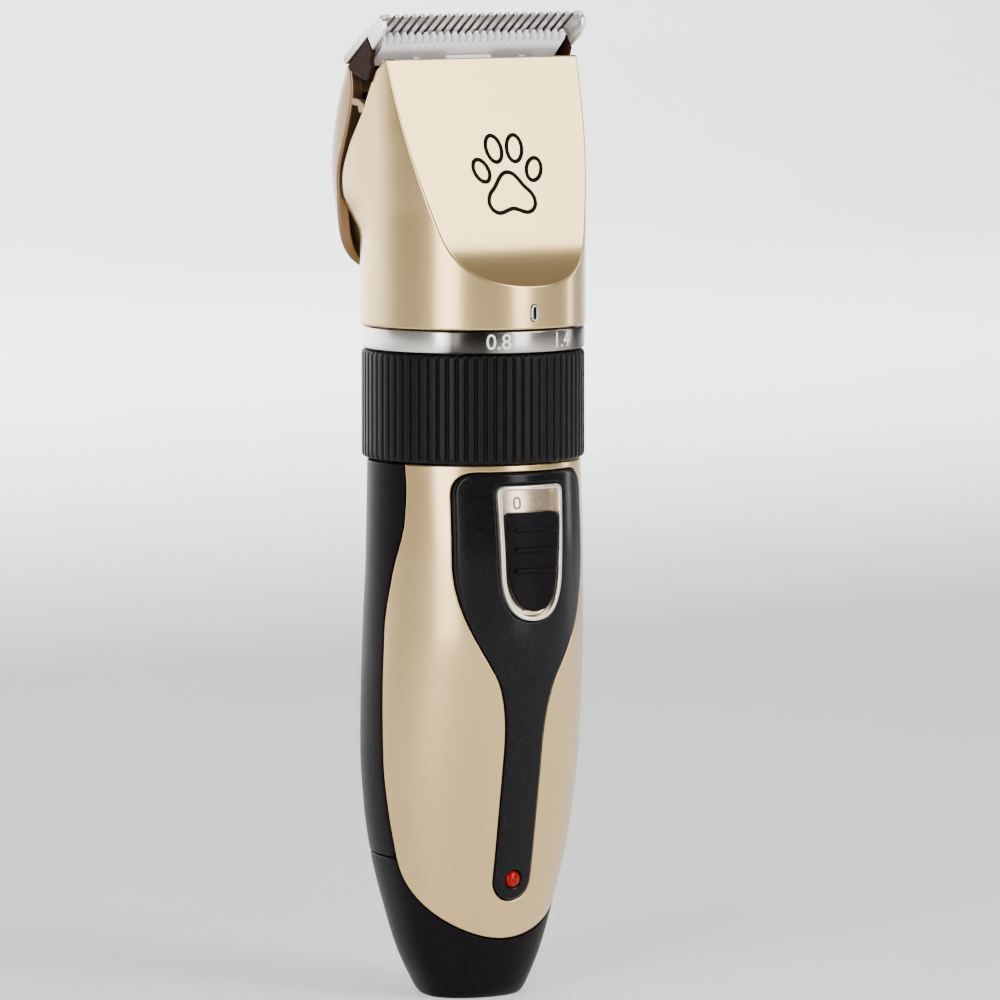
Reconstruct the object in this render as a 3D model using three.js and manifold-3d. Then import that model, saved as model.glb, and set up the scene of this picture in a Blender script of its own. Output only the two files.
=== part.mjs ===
// Cordless electric pet clipper, with a turning length ring and a tilting blade head.
// Units are millimetres, +Z runs up the handle to the blade, and the front with the switch faces -Y.
// The origin is the middle of the foot, on the surface that the clipper stands on.

import * as THREE from "three";
import { mergeVertices } from "three/addons/utils/BufferGeometryUtils.js";
import Module from "manifold-3d";

const wasm = await Module();
wasm.setup();

// ---- Driving dimensions -------------------------------------------------------------------------

const GAP = 0.3; // between pieces that touch, and beside every cut
const WALL = 2.2; // handle shells
const DEG = Math.PI / 180;

// Handle sections: height, half-width, depth in front of the axis, depth behind it, rear corner power.
const HANDLE_SECTIONS = [
  [0, 9, 6.5, 11.5, 2],
  [0.8, 9.6, 7.4, 12.5, 2],
  [2.4, 10.4, 8.4, 13.6, 2],
  [8, 13, 9.8, 16.1, 2],
  [15, 15, 11.7, 18.7, 2],
  [26, 17.9, 13.9, 20.8, 2],
  [34, 19.2, 15.2, 21.5, 2],
  [44, 20.1, 16.8, 21.5, 2],
  [56, 20.3, 18.5, 20.7, 2],
  [68, 20.1, 19.9, 19.9, 2],
  [80, 20, 19.9, 18.2, 2],
  [97.9, 19.8, 19, 17.5, 2],
];
const HANDLE_TOP = 97.9;
const CAP_TOP = 26; // seam between the back shell and the bottom cap
const CAP_FLOOR = 7.5;
const FRONT_EDGE = { halfWidth: 17.7, drop: 14.7 }; // half ellipse at the front shell's lower edge

// Seam between the front and back shells in side view: [y, z] from the top down.
const SIDE_SEAM = [
  [-6.2, 99],
  [-6.7, 93],
  [-6.5, 88],
  [-3.6, 77.5],
  [-1.5, 67],
  [-1.1, 45],
  [-2, 26],
];

// Charging inlet in the foot.
const INLET = { y: 2.4, radius: 4.3, depth: 6, boreRadius: 3.3 };

// Length ring and the number band above it.
const RING = { outer: 20.2, inner: 17.5, low: 98.2, high: 117.8, ribs: 72, ribDepth: 0.45 };
const BAND = { low: 118.1, high: 122 };
const CAM = { inner: 15.8, outer: 18, low: 122.4, high: 126.8, risePerTurn: 3.15 };
const NECK = { low: 88, step: 98.2, top: 126.4, spigot: 14.4, outer: 17, upper: 15.4, bore: 12.6 };

// Head sections, as for the handle; the rear turns from a half circle into a squared back.
const HEAD_LOW = 122.3;
const HEAD_SECTIONS = [
  [122.3, 20.4, 20.4, 20.4, 2],
  [138, 20.4, 20.4, 20.4, 2],
  [142, 20.4, 20.4, 20.8, 2.6],
  [147, 20.5, 20.4, 21.4, 4.2],
  [152, 20.6, 20.4, 20.6, 5.5],
  [158, 20.7, 20.4, 18.2, 8],
  [164, 20.7, 20.4, 15.6, 9],
  [171, 20.7, 20.4, 12.4, 9],
];
const CARRIER_SECTIONS = [
  [130.6, 20.4, 20.4, 20.8, 2.1],
  [134, 20.4, 20.4, 21.5, 2.8],
  [138, 20.4, 20.4, 22.1, 3.6],
  [147, 20.4, 20.4, 22.4, 4.7],
  [158, 20.2, 20.4, 18.7, 8],
  [164, 20, 20.4, 15.9, 10],
  [171, 20, 20.4, 12.4, 10],
];
const HEAD_WALL = 2;
const CARRIER_WALL = 1.8;

// Slanted scoop on the head's front: [y, z] of its top edge, the end of its flat and its bottom edge.
const SCOOP = { top: [-3, 170.4], bend: [-13.3, 139.3], pull: [-15.6, 132.4], low: [-20.8, 129.8] };

// Rear edges in side view, [y, z] from the top down.
const SHELL_REAR_EDGE = [
  [0.1, 168.4],
  [1.8, 165.7],
  [4.9, 160.5],
  [9.4, 154.4],
  [12.3, 148.8],
  [13.2, 143],
  [13.9, 137],
  [15.6, 131.8],
  [18.5, 130.2],
];
const CARRIER_FRONT_EDGE = [
  [10, 168.9],
  [9.2, 165],
  [10.2, 159.4],
  [12.2, 154],
  [14.2, 149],
  [14.9, 143.4],
  [15.5, 137],
  [17.2, 132.6],
  [19.6, 131],
];

// Blade plane, laid out as (x, distance behind the comb's tips, height off the plane).
const BLADE = { tipY: -3.8, tipZ: 178, slope: 35.5 };
const COMB = {
  halfWidth: 21.7,
  length: 15.2,
  thickness: 1.5,
  slots: 22,
  pitch: 1.82,
  slotWidth: 0.7,
  slotDepth: 8,
};
const EAR_WIDTH = 0.9; // of the comb's ears, which hang beside the moving blade
const EAR_OUTLINE = [
  [6.3, 0.3],
  [0.2, 0.3],
  [0, -0.9],
  [0.8, -2],
  [2.4, -2.7],
  [6.3, -2.8],
];
const CERAMIC = { halfWidth: 19.6, tip: 4.6, root: 7.4, heel: 12, thickness: 2.3 };
const CERAMIC_TEETH = { teeth: 26, toothWidth: 0.75 };
const BLADE_TRAVEL = 0.7; // each way from the middle
const BLADE_SCREWS = [
  { name: "blade_screw_left", x: -9 },
  { name: "blade_screw_right", x: 9 },
];
const SCREW_BACK = 14.3; // behind the comb's tips
const CHEEK = { inner: 20.6, outer: 21.5 };
const CROSSBAR = { front: 13.3, back: 15.2, depth: 3.4 };
const TONGUE_HALF_WIDTH = 6; // of the carrier's tongue, which hooks through the shell's slot

// Sledge between the ring cam and the moving blade, in blade-plane distances.
const SLEDGE = { halfWidth: 16.4, front: 8.2, bar: 10.8, back: 12, top: -4.2, bottom: -5.4 };
const ARM_ANGLE = 15; // where the sledge's arm stands round the ring cam, from +X

// Drive.
const MOTOR = { radius: 12, low: 84, high: 114, canWall: 1 };
const SHAFT_RADIUS = 1;
const MOTOR_SCREW_X = 9.8;
const ECCENTRIC = {
  low: 120.5,
  shoulder: 136,
  high: 146,
  hubRadius: 3.2,
  pinRadius: 1.2,
  throw: BLADE_TRAVEL,
};
const FORK = { low: 138.4, high: 150, armWidth: 1.8, halfDepth: 2.6 };

// Switch and its trim, laid out on the front as half-widths and heights.
const TRIM = {
  top: 96.5,
  halfWidth: 13.6,
  corner: 4,
  shoulder: 80,
  waist: 6.4,
  waistZ: 60,
  stripHalfWidth: 3.85,
  stripTop: 46,
  bottom: 18.5,
};
const FRAME = { top: 94.3, bottom: 69.9, halfWidth: 6.9, line: 0.7 };
const BUTTON = {
  top: 89.5,
  bottom: 71.6,
  halfWidth: 5.5,
  travel: 3.6,
  ridges: 3,
  topRidge: 86.4,
  ridgeStep: 3.7,
};
const SLIDER = { front: -14.3, back: -12.7, lever: -11.2 };
const LED = { z: 22.4, radius: 1.5 };

// Electrics.
const BATTERY = { radius: 9, low: 23, high: 73, y: 4.4 };
const BOARD = { halfWidth: 7, low: 20, high: 80, front: -8.2, thickness: 1.2 };
const STEM = { low: 72.5, high: 76.5 }; // the button's stem, where it stands with the switch off

// Case screws, driven from the back into posts of the front shell.
const CASE_SCREWS = [
  { name: "case_screw_upper_left", x: -14.5, z: 78 },
  { name: "case_screw_upper_right", x: 14.5, z: 78 },
  { name: "case_screw_lower_left", x: -12.6, z: 31 },
  { name: "case_screw_lower_right", x: 12.6, z: 31 },
];
const POST = { radius: 2.8, bore: 1.3, sinkRadius: 2.3, seat: 5.3 };

// ---- Materials ----------------------------------------------------------------------------------

function material(color, roughness, metalness) {
  return new THREE.MeshStandardMaterial({ color, roughness, metalness });
}

const champagne = material(0xd6c8ac, 0.28, 0.75);
const blackGloss = material(0x1a1618, 0.25, 0);
const blackMatte = material(0x242024, 0.6, 0);
const bronze = material(0xa88c60, 0.3, 0.8);
const darkBrown = material(0x2e1c14, 0.45, 0);
const chrome = material(0xd8d4cc, 0.12, 1);
const steel = material(0xb8b8bc, 0.3, 1);
const ceramicWhite = material(0xf4f2f6, 0.35, 0);
const innerPlastic = material(0x8c8c90, 0.6, 0);
const boardGreen = material(0x1e5a38, 0.5, 0);
const batteryBlue = material(0x30507c, 0.45, 0);
const magnetGrey = material(0x3a3a3e, 0.7, 0.2);
const copper = material(0xb4703c, 0.4, 0.9);
const brass = material(0xc8a860, 0.35, 0.9);
const redLens = material(0xc81414, 0.2, 0);

// ---- Solids -------------------------------------------------------------------------------------

function signedVolume(positions, index) {
  const corners = [new THREE.Vector3(), new THREE.Vector3(), new THREE.Vector3()];
  let volume = 0;
  for (let i = 0; i < index.length; i += 3) {
    corners.forEach((corner, k) => corner.fromArray(positions, 3 * index[i + k]));
    volume += corners[0].dot(corners[1].cross(corners[2])) / 6;
  }
  return volume;
}

// A closed geometry as a solid, with its faces turned outwards.
function solid(geometry) {
  const bare = new THREE.BufferGeometry();
  const source = geometry.index ? geometry.toNonIndexed() : geometry;
  bare.setAttribute("position", source.getAttribute("position"));
  const merged = mergeVertices(bare, 1e-4);
  const positions = merged.getAttribute("position").array;
  const index = [];
  for (let i = 0; i < merged.index.count; i += 3) {
    const [a, b, c] = [0, 1, 2].map((k) => merged.index.getX(i + k));
    if (a !== b && b !== c && c !== a) index.push(a, b, c);
  }
  if (signedVolume(positions, index) < 0) index.reverse();
  return new wasm.Manifold(
    new wasm.Mesh({ numProp: 3, vertProperties: positions, triVerts: new Uint32Array(index) }),
  );
}

function addMesh(parent, name, shape, look) {
  const { vertProperties, triVerts } = shape.getMesh();
  const geometry = new THREE.BufferGeometry();
  geometry.setAttribute("position", new THREE.BufferAttribute(vertProperties, 3));
  geometry.setIndex(new THREE.BufferAttribute(triVerts, 1));
  geometry.computeVertexNormals();
  const mesh = new THREE.Mesh(geometry, look);
  mesh.name = name;
  parent.add(mesh);
}

function union(shapes) {
  return shapes.reduce((whole, shape) => whole.add(shape));
}

function box([x0, x1], [y0, y1], [z0, z1]) {
  const geometry = new THREE.BoxGeometry(x1 - x0, y1 - y0, z1 - z0);
  return solid(geometry.translate((x0 + x1) / 2, (y0 + y1) / 2, (z0 + z1) / 2));
}

// A round bar along Z.
function rod(radius, z0, z1, x = 0, y = 0, around = 16) {
  const geometry = new THREE.CylinderGeometry(radius, radius, z1 - z0, around);
  return solid(geometry.rotateX(Math.PI / 2).translate(x, y, (z0 + z1) / 2));
}

// A round bar along Y.
function rodY(radius, y0, y1, x, z, around = 10) {
  const geometry = new THREE.CylinderGeometry(radius, radius, y1 - y0, around);
  return solid(geometry.translate(x, (y0 + y1) / 2, z));
}

// A closed outline of [radius, z] turned about Z.
function turned(outline, around = 28) {
  const closed = [...outline, outline[0]].map(([radius, z]) => new THREE.Vector2(radius, z));
  return solid(new THREE.LatheGeometry(closed, around).rotateX(Math.PI / 2));
}

function toShape(points) {
  return new THREE.Shape(points.map(([u, v]) => new THREE.Vector2(u, v)));
}

function extruded(shape, depth, curveSegments = 12) {
  return new THREE.ExtrudeGeometry(shape, { depth, curveSegments, bevelEnabled: false });
}

const X_AXIS = new THREE.Vector3(1, 0, 0);
const Y_AXIS = new THREE.Vector3(0, 1, 0);
const Z_AXIS = new THREE.Vector3(0, 0, 1);

// A side outline (y, z) run along X.
function alongX(shape, [x0, x1]) {
  const turn = new THREE.Matrix4().makeBasis(Y_AXIS, Z_AXIS, X_AXIS).setPosition(x0, 0, 0);
  return solid(extruded(shape, x1 - x0).applyMatrix4(turn));
}

// A front outline (x, z) run along Y.
function alongY(shape, [y0, y1], curveSegments) {
  const turn = new THREE.Matrix4().makeBasis(X_AXIS, Z_AXIS, Y_AXIS).setPosition(0, y0, 0);
  return solid(extruded(shape, y1 - y0, curveSegments).applyMatrix4(turn));
}

// A plan outline (x, y) run along Z.
function alongZ(shape, [z0, z1], curveSegments) {
  return solid(extruded(shape, z1 - z0, curveSegments).translate(0, 0, z0));
}

// Smooth section values at any height of a section table.
function sectionCurve(sections) {
  const heights = sections.map(([z]) => z);
  const values = sections.flatMap(([, ...rest]) => rest);
  const curve = new THREE.CubicInterpolant(heights, values, 4);
  return (z) => {
    const [half, front, rear, power] = curve.evaluate(z);
    return { half, front, rear, power };
  };
}

// A body through superellipse sections, grown outwards by `offset`, with a ring at each section's height.
function loft(sections, { low, high, offset = 0, around = 32 }) {
  const at = sectionCurve(sections);
  const between = sections.map(([z]) => z).filter((z) => z > low && z < high);
  const profile = [new THREE.Vector2(0, low)];
  for (const z of [low, ...between, high]) profile.push(new THREE.Vector2(1, z));
  profile.push(new THREE.Vector2(0, high));
  const geometry = new THREE.LatheGeometry(profile, around).rotateX(Math.PI / 2);
  const place = geometry.getAttribute("position");
  for (let i = 0; i < place.count; i++) {
    const reach = Math.hypot(place.getX(i), place.getY(i));
    if (reach < 0.5) continue;
    const { half, front, rear, power } = at(place.getZ(i));
    const cos = place.getX(i) / reach;
    const sin = place.getY(i) / reach;
    const bend = sin < 0 ? 1 : 2 / power;
    const depth = sin < 0 ? front : rear;
    place.setX(i, (half + offset) * Math.sign(cos) * Math.abs(cos) ** bend);
    place.setY(i, (depth + offset) * Math.sign(sin) * Math.abs(sin) ** bend);
  }
  return solid(geometry);
}

const handleAt = sectionCurve(HANDLE_SECTIONS);

function handleLoft(offset, low = 0, high = HANDLE_TOP) {
  return loft(HANDLE_SECTIONS, { low, high, offset });
}

// ---- Handle shells ------------------------------------------------------------------------------

// The space that the front shell takes up, grown by `gap` for the cuts beside it.
function frontRegion(gap) {
  const side = new THREE.Shape();
  side.moveTo(-30, SIDE_SEAM[0][1]);
  side.lineTo(SIDE_SEAM[0][0] + gap, SIDE_SEAM[0][1]);
  side.splineThru(SIDE_SEAM.slice(1).map(([y, z]) => new THREE.Vector2(y + gap, z)));
  side.lineTo(SIDE_SEAM.at(-1)[0] + gap, -1);
  side.lineTo(-30, -1);
  const face = new THREE.Shape();
  const half = FRONT_EDGE.halfWidth + gap;
  face.moveTo(-30, 100);
  face.lineTo(-30, CAP_TOP);
  face.lineTo(-half, CAP_TOP);
  face.absellipse(0, CAP_TOP, half, FRONT_EDGE.drop + gap, Math.PI, 2 * Math.PI, false);
  face.lineTo(30, CAP_TOP);
  face.lineTo(30, 100);
  return alongX(side, [-30, 30]).intersect(alongY(face, [-30, 5], 12));
}

function handleHollow() {
  return handleLoft(-WALL, CAP_FLOOR, HANDLE_TOP + 4);
}

// The wide trim panel's outline (x, z), grown by `grow`.
function trimOutline(grow) {
  const { top, halfWidth, corner, shoulder, waist, waistZ, stripHalfWidth, stripTop, bottom } = TRIM;
  const wide = halfWidth + grow;
  const middle = waist + grow;
  const strip = stripHalfWidth + grow;
    const shape = new THREE.Shape();
  shape.moveTo(-wide + corner, top + grow);
  shape.quadraticCurveTo(-wide, top + grow, -wide, top - corner);
  shape.lineTo(-wide, shoulder);
  shape.bezierCurveTo(-wide + 0.4, shoulder - 9.5, -middle - 3, waistZ + 5, -middle, waistZ);
  shape.bezierCurveTo(-middle + 1.4, waistZ - 2.5, -strip, stripTop + 7, -strip, stripTop);
  shape.lineTo(-strip, bottom + stripHalfWidth);
  shape.absarc(0, bottom + stripHalfWidth, strip, Math.PI, 2 * Math.PI, false);
  shape.lineTo(strip, stripTop);
  shape.bezierCurveTo(strip, stripTop + 7, middle - 1.4, waistZ - 2.5, middle, waistZ);
  shape.bezierCurveTo(middle + 3, waistZ + 5, wide - 0.4, shoulder - 9.5, wide, shoulder);
  shape.lineTo(wide, top - corner);
  shape.quadraticCurveTo(wide, top + grow, wide - corner, top + grow);
  shape.closePath();
  return shape;
}

// A shield: flat top with round corners, sides that close to a round bottom.
function shieldOutline({ top, bottom, halfWidth }, grow) {
  const half = halfWidth + grow;
  const corner = 1.6;
  const waist = bottom + halfWidth * 1.15;
  const shape = new THREE.Shape();
  shape.moveTo(-half + corner, top + grow);
  shape.quadraticCurveTo(-half, top + grow, -half, top + grow - corner);
  shape.lineTo(-half + 0.5, waist);
  shape.bezierCurveTo(-half + 1, bottom + 2, -halfWidth * 0.5, bottom - grow, 0, bottom - grow);
  shape.bezierCurveTo(halfWidth * 0.5, bottom - grow, half - 1, bottom + 2, half - 0.5, waist);
  shape.lineTo(half, top + grow - corner);
  shape.quadraticCurveTo(half, top + grow, half - corner, top + grow);
  shape.closePath();
  return shape;
}

// Part of a layer that follows the handle's front: from `inner` to `outer`, counted off its surface.
function frontLayer(outline, inner, outer, [low, high]) {
  const layer = handleLoft(outer, low, high).subtract(handleLoft(inner, low - 1, high + 1));
  return layer.intersect(alongY(outline, [-30, -4], 6));
}

const TRIM_SPAN = [TRIM.bottom - 2, TRIM.top + 1.4];
const SWITCH_SPAN = [FRAME.bottom - 2, FRAME.top + 2];
const stemSlot = () => box([-2, 2], [-30, -10], [STEM.low - 0.5, STEM.high + BUTTON.travel + 0.5]);

// The case walls with the screw posts across them, before the case is split.
function caseWithPosts() {
  const posts = union(CASE_SCREWS.map(({ x, z }) => rodY(POST.radius, -20, 20, x, z)));
  const bores = union(CASE_SCREWS.map(({ x, z }) => rodY(POST.bore, -7, 10, x, z, 8)));
  return handleLoft(0)
    .subtract(handleHollow())
    .add(posts.intersect(handleLoft(-1)))
    .subtract(bores);
}

function frontShell() {
  const pocket = frontLayer(trimOutline(GAP), -1.2, 3, TRIM_SPAN);
  return caseWithPosts()
    .intersect(frontRegion(0))
    .subtract(pocket)
    .subtract(stemSlot())
    .subtract(rodY(LED.radius + GAP, -30, -5, 0, LED.z));
}

function backShell() {
  const below = box([-30, 30], [-30, 30], [-1, CAP_TOP + GAP]);
  const sinks = union(CASE_SCREWS.map(({ x, z }) => rodY(POST.sinkRadius, POST.seat, 30, x, z)));
  return caseWithPosts().subtract(frontRegion(GAP)).subtract(below).subtract(sinks);
}

function caseScrew({ x, z }) {
  const head = rodY(2, POST.seat + GAP, POST.seat + 1.8, x, z);
  const shank = rodY(1, -6.4, POST.seat + 1, x, z, 8);
  const cross = box([x - 1.2, x + 1.2], [POST.seat + 1.2, 9], [z - 0.3, z + 0.3]);
  return head.add(shank).subtract(cross);
}

function bottomCap() {
  const inlet = rod(INLET.radius, -1, INLET.depth, 0, INLET.y, 32);
  const bore = rod(INLET.boreRadius, 0, CAP_FLOOR + 1, 0, INLET.y, 32);
  return handleLoft(0, 0, CAP_TOP)
    .subtract(handleLoft(-WALL, CAP_FLOOR, CAP_TOP + 4))
    .subtract(frontRegion(GAP))
    .subtract(inlet)
    .subtract(bore);
}

function switchTrim() {
  const window = alongY(shieldOutline(FRAME, GAP / 2), [-30, -4], 8);
  return frontLayer(trimOutline(0), -0.9, 0.4, TRIM_SPAN)
    .subtract(window)
    .subtract(rodY(LED.radius + GAP, -30, -5, 0, LED.z));
}

function switchFrame() {
  const hole = alongY(shieldOutline(FRAME, -GAP / 2 - FRAME.line), [-30, -4], 8);
  return frontLayer(shieldOutline(FRAME, -GAP / 2), -0.9, 0.8, SWITCH_SPAN).subtract(hole);
}

function switchPlate() {
  const outline = shieldOutline(FRAME, -GAP * 1.5 - FRAME.line);
  return frontLayer(outline, -0.9, -0.5, SWITCH_SPAN).subtract(stemSlot());
}

function switchButton() {
  const outline = shieldOutline(BUTTON, 0);
  const pad = frontLayer(outline, -0.1, 1.2, SWITCH_SPAN);
  const y = -handleAt(80).front;
  const ridges = [];
  for (let i = 0; i < BUTTON.ridges; i++) {
    const z = BUTTON.topRidge - BUTTON.ridgeStep * i;
    ridges.push(box([-4.4, 4.4], [y - 1.6, y], [z - 0.5, z + 0.5]));
  }
  const stem = box([-1.5, 1.5], [y - 0.3, SLIDER.front - GAP], [STEM.low, STEM.high]);
  return union([pad, ...ridges, stem]);
}

function chargeLight() {
  const y = -handleAt(LED.z).front;
  return rodY(LED.radius, y - 0.6, BOARD.front - GAP, 0, LED.z);
}

// ---- Neck and length ring -----------------------------------------------------------------------

function neckTube() {
  const { low, step, top, spigot, outer, upper, bore } = NECK;
  const ledge = [MOTOR.high + 3, MOTOR.high + 5];
  const tube = turned([
    [bore, low],
    [spigot, low],
    [spigot, step],
    [outer, step],
    [outer, BAND.high],
    [upper, BAND.high],
    [upper, top],
    [bore, top],
    [bore, ledge[1]],
    [8.4, ledge[1]],
    [8.4, ledge[0]],
    [bore, ledge[0]],
  ]);
  const springPocket = box([-5, 5], [15, 18], [106, 112]);
  const screwHole = (side) => rod(1, ledge[0] - 1, ledge[1] + 1, side * MOTOR_SCREW_X, 0, 12);
  return tube.subtract(springPocket).subtract(screwHole(-1)).subtract(screwHole(1));
}

// A thin arc of sheet with a bump that rides on the ring's inside.
function detentSpring() {
  const shape = new THREE.Shape();
  shape.moveTo(-4.6, 15.3);
  shape.quadraticCurveTo(0, 18.1, 4.6, 15.3);
  shape.lineTo(4.6, 15.8);
  shape.quadraticCurveTo(0, 18.6, -4.6, 15.8);
  shape.closePath();
  return alongZ(shape, [107, 111], 6);
}

function gripRing() {
  const { outer, inner, low, high, ribs, ribDepth } = RING;
  const step = (2 * Math.PI) / ribs;
  const points = [];
  for (let i = 0; i < ribs; i++) {
    for (const [share, radius] of [
      [0, outer],
      [0.5, outer],
      [0.62, outer - ribDepth],
      [0.88, outer - ribDepth],
    ]) {
      const angle = (i + share) * step;
      points.push([radius * Math.cos(angle), radius * Math.sin(angle)]);
    }
  }
  const shape = toShape(points);
  shape.holes.push(new THREE.Path().absarc(0, 0, inner, 0, 2 * Math.PI));
  return alongZ(shape, [low, high], 20);
}

function numberBand() {
  const { low, high } = BAND;
  const outline = [
    [RING.inner, low],
    [RING.outer - 0.3, low],
    [RING.outer, low + 0.3],
    [RING.outer, high - 0.3],
    [RING.outer - 0.3, high],
    [RING.inner, high],
  ];
  return turned(outline, 48);
}

// A ring whose top is one turn of a shallow ramp; its step lies opposite the sledge's arm.
function ringCam() {
  const { inner, outer, low, high, risePerTurn } = CAM;
  const corners = [
    [inner, low],
    [outer, low],
    [outer, high],
    [inner, high],
    [inner, low],
  ];
  const profile = corners.map(([radius, z]) => new THREE.Vector2(radius, z));
  const geometry = new THREE.LatheGeometry(profile, 36).rotateX(Math.PI / 2);
  const place = geometry.getAttribute("position");
  for (let i = 0; i < place.count; i++) {
    if (place.getZ(i) < high - 0.1) continue;
    const angle = Math.atan2(place.getY(i), place.getX(i)) - ARM_ANGLE * DEG;
    const turn = angle / (2 * Math.PI);
    place.setZ(i, high - risePerTurn * (turn - Math.round(turn)));
  }
  return solid(geometry);
}

// ---- Head shell ---------------------------------------------------------------------------------

// Side outline of the head shell; `inset` moves its slanted front inwards.
function headSide(inset) {
  const { top, bend, pull, low } = SCOOP;
  const cut = new THREE.Shape();
  cut.moveTo(-30, HEAD_LOW - 5);
  cut.lineTo(-30, low[1] - 0.2 - inset * 0.6);
  cut.lineTo(low[0] + inset, low[1] - inset * 0.6);
  cut.quadraticCurveTo(pull[0] + inset, pull[1], bend[0] + inset, bend[1]);
  cut.lineTo(top[0] + inset, top[1]);
  return cut;
}

function headShell() {
  const outline = headSide(0);
  for (const [y, z] of SHELL_REAR_EDGE) outline.lineTo(y, z);
  outline.lineTo(30, 130.2);
  outline.lineTo(30, HEAD_LOW - 5);
  const cavity = headSide(HEAD_WALL);
  cavity.lineTo(30, SCOOP.top[1]);
  cavity.lineTo(30, HEAD_LOW - 5);
  const outer = loft(HEAD_SECTIONS, { low: HEAD_LOW, high: 171 });
  const inner = loft(HEAD_SECTIONS, { low: HEAD_LOW - 2, high: 173, offset: -HEAD_WALL });
  const slotHalfWidth = TONGUE_HALF_WIDTH + GAP;
  const slot = box([-slotHalfWidth, slotHalfWidth], [16, 30], [130.2, 140]);
  const markPocket = alongY(indexOutline(GAP), [-30, -HEAD_SECTIONS[0][2] + 1.2], 8);
  return outer
    .intersect(alongX(outline, [-30, 30]))
    .subtract(inner.intersect(alongX(cavity, [-30, 30])))
    .subtract(slot)
    .subtract(markPocket);
}

// Upright slot shape (x, z) of the mark that the length numbers are read against.
function indexOutline(grow) {
  const shape = new THREE.Shape();
  shape.absarc(0, 126, 0.75 + grow, 0, Math.PI, false);
  shape.absarc(0, 124.4, 0.75 + grow, Math.PI, 2 * Math.PI, false);
  return shape;
}

function indexMark() {
  return alongY(indexOutline(0), [-HEAD_SECTIONS[0][2] - 0.25, -HEAD_SECTIONS[0][2] + 0.9], 8);
}

// ---- Blade head ---------------------------------------------------------------------------------

// A point of the side view, laid out as distance behind the comb's tips and height off the blade plane.
function bladePoint([back, height]) {
  const { tipY, tipZ, slope } = BLADE;
  const cos = Math.cos(slope * DEG);
  const sin = Math.sin(slope * DEG);
  return [tipY + back * cos + height * sin, tipZ - back * sin + height * cos];
}

// Row of teeth outline in the blade plane: tips towards the front, a straight heel.
function toothedOutline({ halfWidth, tip, root, heel, teeth, pitch, toothWidth, point }) {
  const points = [
    [halfWidth, heel],
    [-halfWidth, heel],
  ];
  const first = -((teeth - 1) * pitch) / 2;
  for (let i = 0; i < teeth; i++) {
    const middle = first + i * pitch;
    const left = i === 0 ? -halfWidth : middle - toothWidth / 2;
    const right = i === teeth - 1 ? halfWidth : middle + toothWidth / 2;
    points.push([left, root], [left, tip + point], [left + point * 0.4, tip]);
    points.push([right - point * 0.4, tip], [right, tip + point], [right, root]);
  }
  const repeats = ([x, y], i) => i > 0 && x === points[i - 1][0] && y === points[i - 1][1];
  return toShape(points.filter((point, i) => !repeats(point, i)));
}

function fixedBlade() {
  const { halfWidth, length, thickness, slots, pitch, slotWidth, slotDepth } = COMB;
  const outline = toothedOutline({
    halfWidth,
    tip: 0,
    root: slotDepth,
    heel: length,
    teeth: slots + 1,
    pitch,
    toothWidth: pitch - slotWidth,
    point: 0.7,
  });
  const taper = new THREE.Shape();
  taper.moveTo(-1, 0.45);
  taper.lineTo(6.5, thickness);
  taper.lineTo(6.5, thickness + 2);
  taper.lineTo(-1, thickness + 2);
  const screwHoles = BLADE_SCREWS.map(({ x }) => rod(1.5, -1, 3, x, SCREW_BACK, 16));
  const ear = toShape(EAR_OUTLINE);
  const plate = alongZ(outline, [0, thickness], 6)
    .subtract(alongX(taper, [-30, 30]))
    .add(alongX(ear, [-halfWidth, -halfWidth + EAR_WIDTH]))
    .add(alongX(ear, [halfWidth - EAR_WIDTH, halfWidth]));
  return screwHoles.reduce((whole, hole) => whole.subtract(hole), plate);
}

function ceramicBlade() {
  const { halfWidth, tip, root, heel, thickness } = CERAMIC;
  const { teeth, toothWidth } = CERAMIC_TEETH;
  const pitch = (2 * halfWidth - toothWidth) / (teeth - 1);
  const outline = toothedOutline({ halfWidth, tip, root, heel, teeth, pitch, toothWidth, point: 0.5 });
  const bevel = new THREE.Shape();
  bevel.moveTo(tip - 1, -0.2);
  bevel.lineTo(root - 0.4, -GAP - thickness);
  bevel.lineTo(root - 0.4, -GAP - thickness - 2);
  bevel.lineTo(tip - 1, -GAP - thickness - 2);
  return alongZ(outline, [-GAP - thickness, -GAP], 6).subtract(alongX(bevel, [-30, 30]));
}

// Dark block under the comb: a crossbar behind the moving blade, and a cheek at each end of it.
function bladeFrame() {
  const cheek = toShape([
    [6.6, -GAP],
    [CROSSBAR.back, -GAP],
    [CROSSBAR.back, -1.4],
    [12.8, -4.6],
    [11.3, -6.4],
    [8.4, -5.1],
    [8.2, -4.1],
    [6.6, -2.9],
  ]);
  const bar = box([-CHEEK.outer, CHEEK.outer], [CROSSBAR.front, CROSSBAR.back], [-CROSSBAR.depth, -GAP]);
  const lip = toShape([
    [15.3, -1.2],
    [12.9, -4.6],
    [15.3, -6],
  ]);
  const body = union([
    alongX(cheek, [-CHEEK.outer, -CHEEK.inner]),
    alongX(cheek, [CHEEK.inner, CHEEK.outer]),
    bar.subtract(alongX(lip, [-30, 30])),
  ]);
  const screwHoles = BLADE_SCREWS.map(({ x }) => rod(1.3, -2.6, 1, x, SCREW_BACK, 16));
  return screwHoles.reduce((whole, hole) => whole.subtract(hole), body);
}

function bladeScrew(x) {
  const head = rod(2.2, COMB.thickness + GAP, COMB.thickness + 1.5, x, SCREW_BACK, 20);
  const shank = rod(1, -2.2, COMB.thickness + 0.8, x, SCREW_BACK, 16);
  const slot = box([x - 3, x + 3], [SCREW_BACK - 0.3, SCREW_BACK + 0.3], [COMB.thickness + 1, 9]);
  return head.add(shank).subtract(slot);
}

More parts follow.
